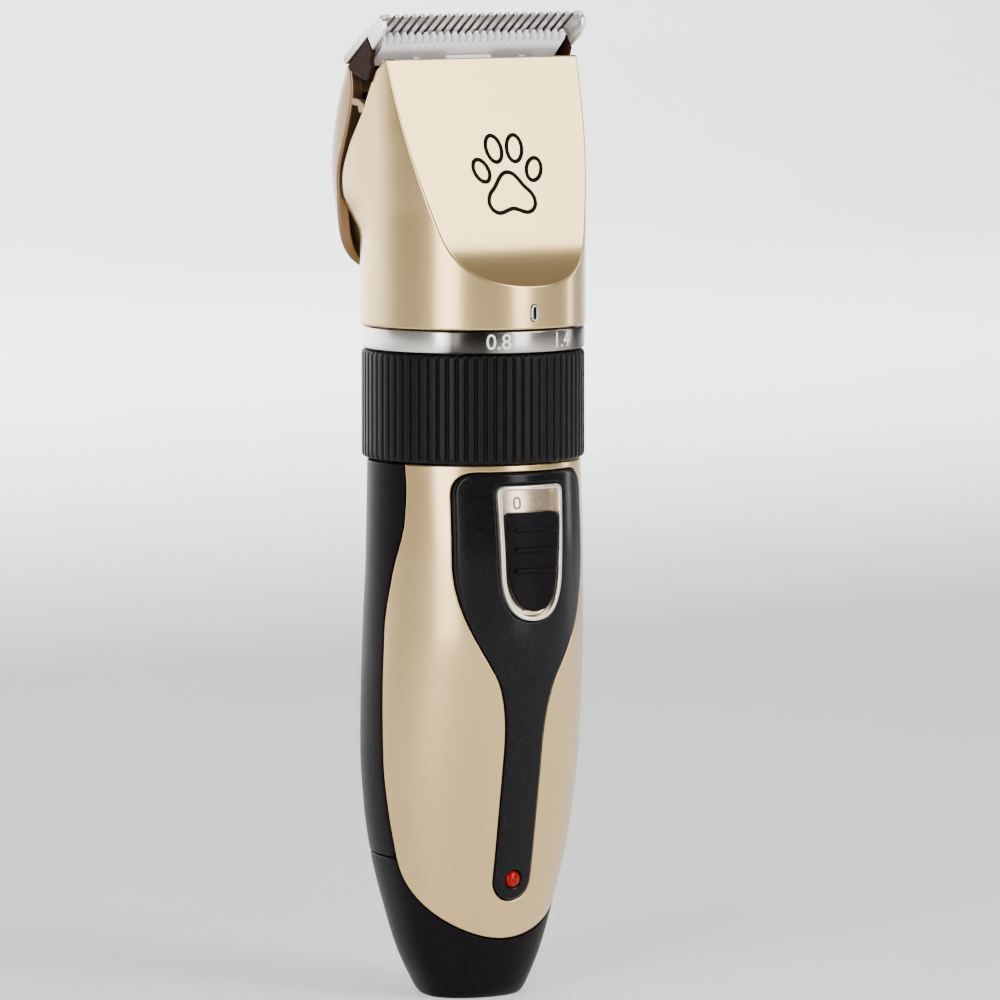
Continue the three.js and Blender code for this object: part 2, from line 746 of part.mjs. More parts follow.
// Curved back plate that holds the blades, with a tongue that hooks over the head shell.
function bladeCarrier() {
  const side = new THREE.Shape();
  side.moveTo(...CARRIER_FRONT_EDGE[0]);
  side.splineThru(CARRIER_FRONT_EDGE.slice(1).map(([y, z]) => new THREE.Vector2(y, z)));
  side.lineTo(30, CARRIER_FRONT_EDGE.at(-1)[1]);
  side.lineTo(30, CARRIER_FRONT_EDGE[0][1]);
  const inner = loft(CARRIER_SECTIONS, { low: 129, high: 173, offset: -CARRIER_WALL });
  const plate = loft(CARRIER_SECTIONS, { low: 130.8, high: 171 })
    .subtract(inner)
    .intersect(alongX(side, [-30, 30]));
  const shelf = toShape([
    [9.6, 164],
    [14.6, 164],
    [12.4, 167.6],
    [10.2, 167.6],
  ]);
  const tab = toShape([
    [10.8, 163.4],
    [6.8, 162.9],
    [5.8, 162.2],
    [5.9, 160.6],
    [7.2, 160.4],
    [7.6, 161.6],
    [11.6, 162],
  ]);
  const tongue = toShape([
    [21.2, 130.6],
    [21.2, 133.4],
    [16.3, 133.4],
    [16.3, 128.7],
    [17, 128.7],
    [17, 130.6],
  ]);
  return union([
    plate,
    alongX(shelf, [-19.5, 19.5]),
    alongX(tab, [-19.8, -18.7]),
    alongX(tab, [18.7, 19.8]),
    alongX(tongue, [-TONGUE_HALF_WIDTH, TONGUE_HALF_WIDTH]),
  ]);
}

// ---- Depth slide and drive ----------------------------------------------------------------------

// A flat U under the moving blade; its arm reaches down to the ring cam.
function depthSledge() {
  const { halfWidth, front, bar, back, top, bottom } = SLEDGE;
  const plate = toShape([
    [front, top],
    [back, top],
    [back, bottom],
    [front, bottom],
  ].map(bladePoint));
  const opening = toShape([
    [front - 2, top + 2],
    [bar, top + 2],
    [bar, bottom - 2],
    [front - 2, bottom - 2],
  ].map(bladePoint));
  const arm = box([14, halfWidth], [1.9, 4.6], [127.2, 167.4]);
  return alongX(plate, [-halfWidth, halfWidth])
    .subtract(alongX(opening, [-7.6, 7.6]))
    .add(arm);
}

// A flat U-shaped leaf that presses the moving blade against the comb.
function tensionSpring() {
  const shape = toShape([
    [-12, 8.6],
    [-10.6, 8.6],
    [-10.6, 10.9],
    [10.6, 10.9],
    [10.6, 8.6],
    [12, 8.6],
    [12, 11.9],
    [-12, 11.9],
  ]);
  return alongZ(shape, [-3.8, -3.1]);
}

// Two arms astride the eccentric pin, joined above it and carried up to the moving blade.
function driveFork() {
  const { low, high, armWidth, halfDepth } = FORK;
  const slot = ECCENTRIC.pinRadius + 2 * ECCENTRIC.throw + GAP;
  const outer = slot + armWidth;
  const side = toShape([
    bladePoint([8.6, -2.9]),
    bladePoint([10.4, -2.9]),
    bladePoint([10.4, -6]),
    [halfDepth, high + 6],
    [halfDepth, low],
    [-halfDepth, low],
    [-halfDepth, high],
    bladePoint([8.6, -6]),
  ]);
  return alongX(side, [-outer, outer]).subtract(box([-slot, slot], [-9, 9], [low - 1, high - 2]));
}

function motorCan() {
  const { radius, low, high, canWall } = MOTOR;
  return turned([
    [radius, low],
    [radius, high],
    [SHAFT_RADIUS + GAP, high],
    [SHAFT_RADIUS + GAP, high - canWall],
    [radius - canWall, high - canWall],
    [radius - canWall, low],
  ]);
}

function motorEndCap() {
  const { radius, low } = MOTOR;
  const disc = turned([
    [SHAFT_RADIUS + GAP, low - 2.5],
    [radius, low - 2.5],
    [radius, low - GAP],
    [SHAFT_RADIUS + GAP, low - GAP],
  ]);
  const terminals = [-6, 6].map((x) => box([x - 1, x + 1], [-1, 1], [low - 5, low - 2]));
  return union([disc, ...terminals]);
}

function magnet(side) {
  const { radius, canWall, low, high } = MOTOR;
  const outer = radius - canWall - GAP;
  const span = 60 * DEG;
  const middle = side > 0 ? 0 : Math.PI;
  const shape = new THREE.Shape();
  shape.absarc(0, 0, outer, middle - span, middle + span, false);
  shape.absarc(0, 0, outer - 2, middle + span, middle - span, true);
  shape.closePath();
  return alongZ(shape, [low + 3, high - 5], 12);
}

function armature() {
  const core = rod(8, MOTOR.low + 5, MOTOR.high - 7, 0, 0, 32);
  const collar = rod(2.6, MOTOR.low + 0.6, MOTOR.high - 2, 0, 0, 20);
  const slots = [0, 1, 2].map((i) => {
    const angle = i * 120 * DEG + 90 * DEG;
    return rod(2.2, MOTOR.low, MOTOR.high, 7.6 * Math.cos(angle), 7.6 * Math.sin(angle), 12);
  });
  const bore = rod(SHAFT_RADIUS + GAP, MOTOR.low - 1, MOTOR.high + 1);
  return [...slots, bore].reduce((whole, cut) => whole.subtract(cut), core.add(collar));
}

function motorShaft() {
  return rod(SHAFT_RADIUS, MOTOR.low - 2, ECCENTRIC.low + 5);
}

function eccentricCam() {
  const { low, shoulder, high, hubRadius, pinRadius, throw: reach } = ECCENTRIC;
  const hub = rod(hubRadius, low, shoulder, 0, 0, 28);
  const pin = rod(pinRadius, shoulder - 1, high, 0, reach, 20);
  return hub.add(pin).subtract(rod(SHAFT_RADIUS + GAP, low - 1, low + 5 + GAP));
}

function motorBracket() {
  const plate = turned([
    [4, MOTOR.high + GAP],
    [NECK.bore - GAP, MOTOR.high + GAP],
    [NECK.bore - GAP, MOTOR.high + 2.7],
    [4, MOTOR.high + 2.7],
  ]);
  const screwHole = (side) => rod(1, MOTOR.high - 1, MOTOR.high + 4, side * MOTOR_SCREW_X, 0, 12);
  return plate.subtract(screwHole(-1)).subtract(screwHole(1));
}

function motorScrew(side) {
  const x = side * MOTOR_SCREW_X;
  const head = rod(1.8, MOTOR.high + 5 + GAP, MOTOR.high + 6.6, x, 0, 16);
  return head.add(rod(0.7, MOTOR.high + 0.6, MOTOR.high + 6, x, 0, 12));
}

// ---- Electrics ----------------------------------------------------------------------------------

function batteryCell() {
  const { radius, low, high, y } = BATTERY;
  return rod(radius, low, high - 1, 0, y, 36).add(rod(3, high - 2, high, 0, y, 20));
}

// A nickel strip from a battery end to the circuit board.
function batteryTab(z) {
  return box([-2.5, 2.5], [BOARD.front + BOARD.thickness + GAP, BATTERY.y + 3], [z, z + 0.4]);
}

function circuitBoard() {
  const { halfWidth, low, high, front, thickness } = BOARD;
  const board = box([-halfWidth, halfWidth], [front, front + thickness], [low, high]);
  const chip = box([-3, 3], [front + thickness - 0.1, front + thickness + 1.2], [44, 49]);
  const coil = rodY(2.4, front - 2.2, front + 0.1, -2, 36, 16);
  return union([board, chip, coil]);
}

function slideSwitch() {
  const body = box([-4, 4], [-12.4, BOARD.front - GAP], [68, 81]);
  const slot = box([-1.3, 1.3], [-13, -10.6], [STEM.low - 0.6, STEM.high + BUTTON.travel - 0.2]);
  return body.subtract(slot);
}

function switchSlider() {
  const { front, back, lever } = SLIDER;
  const middle = (STEM.low + STEM.high) / 2;
  const yoke = box([-3, 3], [front, back], [STEM.low, STEM.high]);
  return yoke.add(box([-1, 1], [back - 0.2, lever], [middle - 1.4, middle + 1.4]));
}

function chargeJack() {
  const low = INLET.depth + GAP;
  const outline = [
    [0, 15],
    [INLET.boreRadius - GAP, 15],
    [INLET.boreRadius - GAP, low],
    [1.9, low],
    [1.9, 13.5],
    [0, 13.5],
  ];
  return turned(outline, 32).add(box([-2.6, 2.6], [-1.6, 1.6], [14.5, 16.5]));
}

function chargePin() {
  return rod(0.6, INLET.depth + 0.8, 13.2, 0, 0, 16);
}

// ---- Assembly -----------------------------------------------------------------------------------

const clipper = new THREE.Group();

function addHandle() {
  addMesh(clipper, "front_shell", frontShell(), champagne);
  addMesh(clipper, "back_shell", backShell(), blackMatte);
  addMesh(clipper, "bottom_cap", bottomCap(), blackMatte);
  addMesh(clipper, "switch_trim", switchTrim(), blackGloss);
  addMesh(clipper, "switch_frame", switchFrame(), chrome);
  addMesh(clipper, "switch_plate", switchPlate(), chrome);
  addMesh(clipper, "charge_light", chargeLight(), redLens);
  addMesh(clipper, "neck_tube", neckTube(), blackMatte);
  addMesh(clipper, "head_shell", headShell(), champagne);
  addMesh(clipper, "index_mark", indexMark(), chrome);
  for (const screw of CASE_SCREWS) addMesh(clipper, screw.name, caseScrew(screw), steel);
}

function addElectrics() {
  addMesh(clipper, "battery_cell", batteryCell(), batteryBlue);
  addMesh(clipper, "battery_tab_upper", batteryTab(BATTERY.high + GAP), steel);
  addMesh(clipper, "battery_tab_lower", batteryTab(BATTERY.low - GAP - 0.4), steel);
  addMesh(clipper, "circuit_board", circuitBoard(), boardGreen);
  addMesh(clipper, "slide_switch", slideSwitch(), innerPlastic);
  const inlet = new THREE.Group();
  inlet.position.y = INLET.y;
  clipper.add(inlet);
  addMesh(inlet, "charge_jack", chargeJack(), blackMatte);
  addMesh(inlet, "charge_pin", chargePin(), brass);
}

function addMotor() {
  addMesh(clipper, "motor_can", motorCan(), steel);
  addMesh(clipper, "motor_end_cap", motorEndCap(), innerPlastic);
  addMesh(clipper, "magnet_left", magnet(-1), magnetGrey);
  addMesh(clipper, "magnet_right", magnet(1), magnetGrey);
  addMesh(clipper, "motor_bracket", motorBracket(), steel);
  addMesh(clipper, "motor_screw_left", motorScrew(-1), steel);
  addMesh(clipper, "motor_screw_right", motorScrew(1), steel);
  addMesh(clipper, "armature", armature(), copper);
  addMesh(clipper, "motor_shaft", motorShaft(), steel);
  addMesh(clipper, "eccentric_cam", eccentricCam(), brass);
}

function addLengthRing() {
  addMesh(clipper, "grip_ring", gripRing(), blackMatte);
  addMesh(clipper, "number_band", numberBand(), chrome);
  addMesh(clipper, "ring_cam", ringCam(), innerPlastic);
  addMesh(clipper, "detent_spring", detentSpring(), steel);
}

function addSwitch() {
  addMesh(clipper, "switch_button", switchButton(), blackGloss);
  addMesh(clipper, "switch_slider", switchSlider(), innerPlastic);
}

function addBladeHead() {
  addMesh(clipper, "blade_carrier", bladeCarrier(), bronze);
  addMesh(clipper, "depth_sledge", depthSledge(), innerPlastic);
  addMesh(clipper, "drive_fork", driveFork(), blackMatte);

  const bladePlane = new THREE.Group();
  bladePlane.position.set(0, BLADE.tipY, BLADE.tipZ);
  bladePlane.rotation.x = -BLADE.slope * DEG;
  clipper.add(bladePlane);
  addMesh(bladePlane, "fixed_blade", fixedBlade(), steel);
  addMesh(bladePlane, "ceramic_blade", ceramicBlade(), ceramicWhite);
  addMesh(bladePlane, "blade_frame", bladeFrame(), darkBrown);
  addMesh(bladePlane, "tension_spring", tensionSpring(), steel);
  for (const { name, x } of BLADE_SCREWS) addMesh(bladePlane, name, bladeScrew(x), steel);
}

addHandle();
addElectrics();
addMotor();
addLengthRing();
addSwitch();
addBladeHead();

export default clipper;
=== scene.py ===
"""Looks of the cordless electric pet clipper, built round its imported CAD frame."""

import math

import bpy
import numpy as np
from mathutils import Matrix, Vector
from mathutils.geometry import delaunay_2d_cdt


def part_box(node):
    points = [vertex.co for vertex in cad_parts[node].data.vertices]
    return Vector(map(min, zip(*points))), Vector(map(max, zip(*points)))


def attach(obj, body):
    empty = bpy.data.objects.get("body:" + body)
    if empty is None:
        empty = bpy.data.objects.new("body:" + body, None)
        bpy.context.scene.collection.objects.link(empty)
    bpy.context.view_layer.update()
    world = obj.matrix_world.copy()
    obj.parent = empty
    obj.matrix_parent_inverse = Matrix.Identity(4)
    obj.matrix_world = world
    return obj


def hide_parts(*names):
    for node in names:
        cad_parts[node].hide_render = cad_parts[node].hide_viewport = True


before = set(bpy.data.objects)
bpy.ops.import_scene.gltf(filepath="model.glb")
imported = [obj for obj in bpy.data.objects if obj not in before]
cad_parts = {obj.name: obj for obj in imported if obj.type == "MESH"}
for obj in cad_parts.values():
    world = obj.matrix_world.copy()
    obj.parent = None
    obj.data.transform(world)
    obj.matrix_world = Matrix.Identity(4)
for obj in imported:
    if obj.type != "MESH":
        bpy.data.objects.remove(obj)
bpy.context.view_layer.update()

MM = 0.001  # every dimension below is in millimetres

# ---- Dimensions ----
# They follow the CAD model, but the gaps between the ceramic teeth are 1 mm shorter, and the grooves
# of the grip ring are 0.1 mm deeper.

# Sections: height, half-width, depth in front of the axis, depth behind it, rear corner power.
HANDLE_SECTIONS = [
    (0, 9, 6.5, 11.5, 2), (0.8, 9.6, 7.4, 12.5, 2), (2.4, 10.4, 8.4, 13.6, 2),
    (8, 13, 9.8, 16.1, 2), (15, 15, 11.7, 18.7, 2), (26, 17.9, 13.9, 20.8, 2),
    (34, 19.2, 15.2, 21.5, 2), (44, 20.1, 16.8, 21.5, 2), (56, 20.3, 18.5, 20.7, 2),
    (68, 20.1, 19.9, 19.9, 2), (80, 20, 19.9, 18.2, 2), (97.9, 19.8, 19, 17.5, 2),
]
HEAD_SECTIONS = [
    (122.3, 20.4, 20.4, 20.4, 2), (138, 20.4, 20.4, 20.4, 2), (142, 20.4, 20.4, 20.8, 2.6),
    (147, 20.5, 20.4, 21.4, 4.2), (152, 20.6, 20.4, 20.6, 5.5), (158, 20.7, 20.4, 18.2, 8),
    (164, 20.7, 20.4, 15.6, 9), (171, 20.7, 20.4, 12.4, 9),
]
CARRIER_SECTIONS = [
    (130.6, 20.4, 20.4, 20.8, 2.1), (134, 20.4, 20.4, 21.5, 2.8), (138, 20.4, 20.4, 22.1, 3.6),
    (147, 20.4, 20.4, 22.4, 4.7), (158, 20.2, 20.4, 18.7, 8), (164, 20, 20.4, 15.9, 10),
    (171, 20, 20.4, 12.4, 10),
]
GAP = 0.3
WALL = 2.2
CASE_EDGE = 0.28  # how round the edges of the case's pieces are
HANDLE_TOP = 97.9
CAP_TOP = 26
FRONT_EDGE = {"half": 17.7, "drop": 14.7}
# Side seam of the handle, and the rear edges of the head's pieces: (y, z) from the bottom up.
SIDE_SEAM = [(-2, 26), (-1.1, 45), (-1.5, 67), (-3.6, 77.5), (-6.5, 88), (-6.7, 93), (-6.2, 99)]
SHELL_REAR_EDGE = [
    (18.5, 130.2), (15.6, 131.8), (13.9, 137), (13.2, 143), (12.3, 148.8), (9.4, 154.4), (4.9, 160.5),
    (1.8, 165.7), (0.1, 168.4),
]
CARRIER_FRONT_EDGE = [
    (19.6, 131), (17.2, 132.6), (15.5, 137), (14.9, 143.4), (14.2, 149), (12.2, 154), (10.2, 159.4),
    (9.2, 165), (10, 168.9),
]
CARRIER_LOW = 130.8
CARRIER_WALL = 1.8
SCOOP = {"top": (-3, 170.4), "bend": (-13.3, 139.3), "pull": (-15.6, 132.4), "low": (-20.8, 129.8)}
HEAD_LOW = 122.3
HEAD_WALL = 2
INDEX_MARK = {"z": 125.2, "half_width": 0.72, "half_height": 1.5, "line": (0.38, 0.38)}
CAP_FLOOR = 8
INLET = {"y": 2.4, "radius": 4.3, "depth": 6, "bore": 3.3}
RING = {"outer": 20.2, "inner": 17.5, "low": 98.2, "high": 117.8, "ribs": 72, "depth": 0.55}
BAND = {"low": 118.1, "high": 122}
BLADE = {"y": -3.8, "z": 178, "slope": math.radians(35.5)}
COMB = {
    "half": 21.7, "tip": 0, "length": 15.2, "thickness": 1.5,
    "teeth": 23, "pitch": 1.82, "slot": 0.7, "depth": 8,
}
CERAMIC = {
    "half": 19.6, "tip": 4.6, "root": 6.4, "heel": 12, "thickness": 2.3, "teeth": 26, "tooth": 0.75,
}
TIP_ROUND = 0.75
CHEEK = {"inner": 20.6, "outer": 21.5}
EAR = 0.9
BLADE_SCREW = {"back": 14.3, "head": 2.2, "shank": 1}
TRIM = {
    "top": 96.5, "half": 13.6, "shoulder": 80, "waist": 6.4, "waist_z": 60,
    "strip": 3.85, "strip_top": 46, "bottom": 18.5,
}
FRAME = {"top": 94.3, "bottom": 69.9, "half": 6.9, "line": 0.7}
BUTTON = {"top": 89.5, "bottom": 71.6, "half": 5.5}
DISH = {"middle": 79, "reach": 5.5, "depth": 0.45}  # the hollow for the thumb
RIDGES = {"count": 3, "top": 86.4, "step": 3.7, "half_width": 4.3, "half_height": 0.42}
STEM = {"low": 72.6, "high": 76.4, "back": -14.6, "half": 1.5}
STEM_SLOT = {"low": 71.8, "high": 81, "half": 2}
ZERO = {"x": -2.7, "z": 91.1, "half_width": 0.75, "half_height": 1.15, "line": (0.33, 0.35)}
# How far the pieces of the front stand off the handle's skin.
STAND_OFF = {
    "trim": 0.4, "frame": 0.8, "plate": -0.5, "zero": -0.36, "button": 1.2, "ridge": 1.58, "bed": -0.9,
}
LED = {"z": 22.4, "radius": 1.5, "length": 9}
CASE_SCREWS = [(-14.5, 78), (14.5, 78), (-12.6, 31), (12.6, 31)]  # (x, z)
POST = {"radius": 2.8, "sink": 2.3, "bore": 1.3, "low": 1, "seat": 5.3}

ARC = 20  # the radius that turns an angle into a distance round the handle or head
TURN = 2 * math.pi * ARC
FRONT, BACK = -TURN / 4, TURN / 4  # distances round to the middle of the front and of the back
FAR_HEIGHT = 200  # above every skin

# ---- Curves and surfaces ----


def smooth_curve(places, values):
    """A smooth curve through the points that never swings past them."""
    x = np.array(places, float)
    y = np.array(values, float).reshape(len(x), -1)
    width = np.diff(x)
    rise = np.diff(y, axis=0) / width[:, None]
    slope = np.zeros_like(y)
    slope[0], slope[-1] = rise[0], rise[-1]
    for i in range(1, len(x) - 1):
        before, after = 2 * width[i] + width[i - 1], width[i] + 2 * width[i - 1]
        same = rise[i - 1] * rise[i] > 0
        safe = np.where(same, rise[i - 1] * rise[i], 1)
        mean = (before + after) * safe / np.where(same, before * rise[i] + after * rise[i - 1], 1)
        slope[i] = np.where(same, mean, 0)

    def at(place):
        place = np.clip(np.atleast_1d(np.asarray(place, float)), x[0], x[-1])
        i = np.clip(np.searchsorted(x, place) - 1, 0, len(x) - 2)
        t = ((place - x[i]) / width[i])[:, None]
        h = width[i][:, None]
        return (
            (1 + 2 * t) * (1 - t) ** 2 * y[i]
            + t * (1 - t) ** 2 * h * slope[i]
            + t**2 * (3 - 2 * t) * y[i + 1]
            + t**2 * (t - 1) * h * slope[i + 1]
        )

    return at


def edge_curve(points):
    """Depth as a smooth function of height, through (y, z) points."""
    curve = smooth_curve([z for _, z in points], [y for y, _ in points])
    return lambda z: curve(z)[:, 0]


def polar(radius, angle, height):
    """Points about the upright axis."""
    return np.stack([radius * np.cos(angle), radius * np.sin(angle), 0 * angle + height], 1)


class Loft:
    """The skin over a row of sections: (distance round, height, stand-off) to a point."""

    def __init__(self, sections):
        self.at = smooth_curve([s[0] for s in sections], [s[1:] for s in sections])

    def __call__(self, p, off=0.0):
        angle = p[:, 0] / ARC
        half, front, rear, power = self.at(p[:, 1]).T
        cos, sin = np.cos(angle), np.sin(angle)
        depth = np.where(sin < 0, front, rear) + off
        power = np.where(sin < 0, 2, power)
        reach = (np.abs(cos / (half + off)) ** power + np.abs(sin / depth) ** power) ** (-1 / power)
        return polar(reach, angle, p[:, 1])

    def side(self, y, z):
        """Distance round to the point of the right side at this depth and height."""
        half, front, rear, power = self.at(z).T
        y = np.broadcast_to(y, half.shape)
        power = np.where(y < 0, 2, power)
        share = np.clip(np.abs(y) / np.where(y < 0, front, rear), 0, 1)
        return ARC * np.arctan2(y, half * (1 - share**power) ** (1 / power))

    def across(self, x, z, back=False):
        """Distance round to the point of the front, or of an elliptic back, at this x and height."""
        half, front, rear, _ = self.at(z).T
        depth = rear if back else -front
        share = np.clip(np.abs(x) / half, 0, 1)
        return ARC * np.arctan2(depth * np.sqrt(1 - share**2), x)


handle = Loft(HANDLE_SECTIONS)
head = Loft(HEAD_SECTIONS)
carrier = Loft(CARRIER_SECTIONS)


def handle_front(p, off=0.0):
    """The handle's front, from (x, z)."""
    half, front, _, _ = handle.at(p[:, 1]).T
    share = np.clip(np.abs(p[:, 0]) / (half + off), 0, 0.999)
    return np.stack([p[:, 0], -(front + off) * np.sqrt(1 - share**2), p[:, 1]], 1)


def leaned(back, off):
    """(y, z) of a distance back along the blade plane and a height off it."""
    cos, sin = math.cos(BLADE["slope"]), math.sin(BLADE["slope"])
    return back * cos + off * sin, off * cos - back * sin


def blade_plane(p, off=0.0):
    """The blade plane, from (x, distance behind the comb's tips)."""
    y, z = leaned(p[:, 1], off)
    return np.stack([p[:, 0], BLADE["y"] + y, BLADE["z"] + z], 1)


def side_plane(points):
    """(y, z) of points given as (distance behind the comb's tips, height off the blade plane)."""
    y, z = leaned(*np.array(points, float).T)
    return np.stack([BLADE["y"] + y, BLADE["z"] + z], 1)


def normals(surface, p, off):
    """Outward normals of a surface."""
    step = 0.01
    du = surface(p + (step, 0), off) - surface(p - (step, 0), off)
    dv = surface(p + (0, step), off) - surface(p - (0, step), off)
    return unit(np.cross(du, dv))


def unit(v):
    """Vectors scaled to length one."""
    return v / np.maximum(np.linalg.norm(v, axis=-1, keepdims=True), 1e-12)


# ---- Outlines ----


def spaced(points, spacing=0.9, closed=False):
    """The same line with points at an even spacing."""
    points = np.asarray(points, float)
    if closed:
        points = np.vstack([points, points[:1]])
    run = np.concatenate([[0], np.cumsum(np.linalg.norm(np.diff(points, axis=0), axis=1))])
    count = max(2, int(round(run[-1] / spacing)) + 1)
    at = np.linspace(0, run[-1], count)
    line = np.stack([np.interp(at, run, points[:, k]) for k in range(points.shape[1])], 1)
    return line[:-1] if closed else line


def joined(*lines):
    """Lines end to end, each without its last point, as a closed outline."""
    return np.vstack([line[:-1] for line in lines])


def bezier(*controls, steps=24):
    """A Bezier curve of any order."""
    t = np.linspace(0, 1, steps + 1)[:, None]
    rows = [np.asarray(c, float) + 0 * t for c in controls]
    while len(rows) > 1:
        rows = [a + (b - a) * t for a, b in zip(rows, rows[1:])]
    return rows[0]


def mirrored(right):
    """A closed outline from its right half, bottom centre to top centre."""
    left = right[::-1] * (-1, 1)
    return joined(right, left)


def mirror_round(line, middle):
    """A line round a skin, mirrored over the front's or the back's middle."""
    return np.stack([2 * middle - line[:, 0], line[:, 1]], 1)


def trim_outline(grow):
    """The black trim: a shoulder round the switch, a waist and a strip with a round foot."""
    wide, strip, top = TRIM["half"] + grow, TRIM["strip"] + grow, TRIM["top"] + grow
    middle, waist, shoulder = TRIM["waist"] + grow, TRIM["waist_z"], TRIM["shoulder"]
    low, centre = TRIM["strip_top"], TRIM["bottom"] + TRIM["strip"]
    turn = np.linspace(-math.pi / 2, 0, 24)
    foot = np.stack([strip * np.cos(turn), centre + strip * np.sin(turn)], 1)
    shoulder_pull = (wide - 0.4, shoulder - 9.5)
    right = np.vstack(
        [
            foot,
            bezier((strip, low), (strip, low + 7), (middle - 1.4, waist - 2.5), (middle, waist)),
            bezier((middle, waist), (middle + 3, waist + 5), shoulder_pull, (wide, shoulder)),
            bezier((wide, TRIM["top"] - 4), (wide, top), (wide - 4, top)),
            [(0, top)],
        ]
    )
    return mirrored(spaced(right, 0.6))


def shield_outline(size, grow):
    """The switch's outline: a flat top with small round corners and a bowed foot."""
    half, top, bottom = size["half"] + grow, size["top"] + grow, size["bottom"] - grow
    waist = size["bottom"] + size["half"] * 1.15
    corner = 1.6
    low_corner = (half - 1, size["bottom"] + 2)
    right = np.vstack(
        [
            bezier((0, bottom), (size["half"] / 2, bottom), low_corner, (half - 0.5, waist)),
            bezier((half, top - corner), (half, top), (half - corner, top)),
            [(0, top)],
        ]
    )
    return mirrored(spaced(right, 0.35))


def slot_outline(x, z, half_width, half_height, steps=10):
    """An upright slot with round ends."""
    turn = np.linspace(0, math.pi, steps + 1)
    straight = half_height - half_width
    top = np.stack([half_width * np.cos(turn), straight + half_width * np.sin(turn)], 1)
    return np.vstack([top, -top]) + (x, z)


def slot_ring(x, size):
    """The outer and inner outlines of a thin ring shaped like an upright slot."""
    pulls = [(0, 0), size["line"]]
    sizes = [(size["half_width"] - across, size["half_height"] - along) for across, along in pulls]
    return [slot_outline(x, size["z"], *halves) for halves in sizes]


def circle(x, z, radius, steps=32):
    turn = np.arange(steps) * 2 * math.pi / steps
    return np.stack([x + radius * np.cos(turn), z + radius * np.sin(turn)], 1)


# ---- Mesh building ----


class Mesh:
    """Points and faces, with a normal for each corner of each face."""

    def __init__(self):
        self.points, self.faces, self.normals, self.count = [], [], [], 0

    def add(self, points):
        self.points.append(np.asarray(points, float))
        first, self.count = self.count, self.count + len(points)
        return np.arange(first, self.count)

    def face(self, corners, directions):
        self.faces.append([int(i) for i in corners])
        self.normals.extend(directions)

    def strip(self, a, b, na, nb, closed=True):
        """Quads between two rows of points; going along the rows, b lies to the left."""
        for i in range(len(a) if closed else len(a) - 1):
            j = (i + 1) % len(a)
            self.face((a[i], a[j], b[j], b[i]), (na[i], na[j], nb[j], nb[i]))

    def tube(self, rows, directions=None, closed=False):
        """Quads over rows of points that each close on themselves, with smooth or given normals."""
        ids = [self.add(row) for row in rows]
        if directions is None:
            directions = row_normals(rows, closed)
        pairs = list(zip(range(len(rows)), range(1, len(rows))))
        if closed:
            pairs.append((len(rows) - 1, 0))
        for i, j in pairs:
            self.strip(ids[i], ids[j], directions[i], directions[j])
        return ids

    def cap(self, ids, direction):
        """One flat face over a ring of points."""
        self.face(ids, [direction] * len(ids))

    def piece(self, name, look, body, extra=False):
        """Makes the Blender object, riding on a body in place of its CAD node, unless it is extra."""
        title = name if extra else f"fine_{name}"
        mesh = bpy.data.meshes.new(title)
        mesh.from_pydata((np.vstack(self.points) * MM).tolist(), [], self.faces)
        mesh.shade_smooth()
        mesh.normals_split_custom_set([Vector(n) for n in self.normals])
        mesh.materials.append(look)
        thing = linked(title, mesh)
        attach(thing, body)
        if not extra:
            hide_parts(name)


def linked(name, data):
    """A new object in the scene."""
    thing = bpy.data.objects.new(name, data)
    bpy.context.scene.collection.objects.link(thing)
    return thing


def row_normals(rows, closed=False):
    """Smooth outward normals of rows that close on themselves and climb to the left."""
    grid = np.array(rows)
    along = np.roll(grid, -1, 1) - np.roll(grid, 1, 1)
    if closed:
        up = np.roll(grid, -1, 0) - np.roll(grid, 1, 0)
    else:
        up = np.gradient(grid, axis=0)
    return unit(np.cross(along, up))


def inset(loop, distance, wraps=False):
    """A closed loop moved to its left."""
    step = np.roll(loop, -1, 0) - loop
    if wraps:
        step[:, 0] = (step[:, 0] + TURN / 2) % TURN - TURN / 2
    left = unit(np.stack([-step[:, 1], step[:, 0]], 1))
    before = np.roll(left, 1, 0)
    middle = unit(left + before)
    stretch = 1 / np.maximum((middle * left).sum(1, keepdims=True), 0.6)
    return loop + distance * middle * stretch


def within(points, loops):
    """Whether each point is inside the loops, counted even-odd."""
    inside = np.zeros(len(points), bool)
    x, y = points[:, 0][:, None], points[:, 1][:, None]
    for loop in loops:
        a, b = loop, np.roll(loop, -1, 0)
        spans = (a[:, 1] > y) != (b[:, 1] > y)
        rise = np.where(b[:, 1] == a[:, 1], 1e-12, b[:, 1] - a[:, 1])
        crossing = a[:, 0] + (y - a[:, 1]) * (b[:, 0] - a[:, 0]) / rise
        inside ^= (spans & (x < crossing)).sum(1) % 2 == 1
    return inside


def area(loop):
    """The area of a closed loop, positive when it runs anticlockwise."""
    x, y = loop[:, 0], loop[:, 1]
    return float((x * np.roll(y, -1) - y * np.roll(x, -1)).sum()) / 2


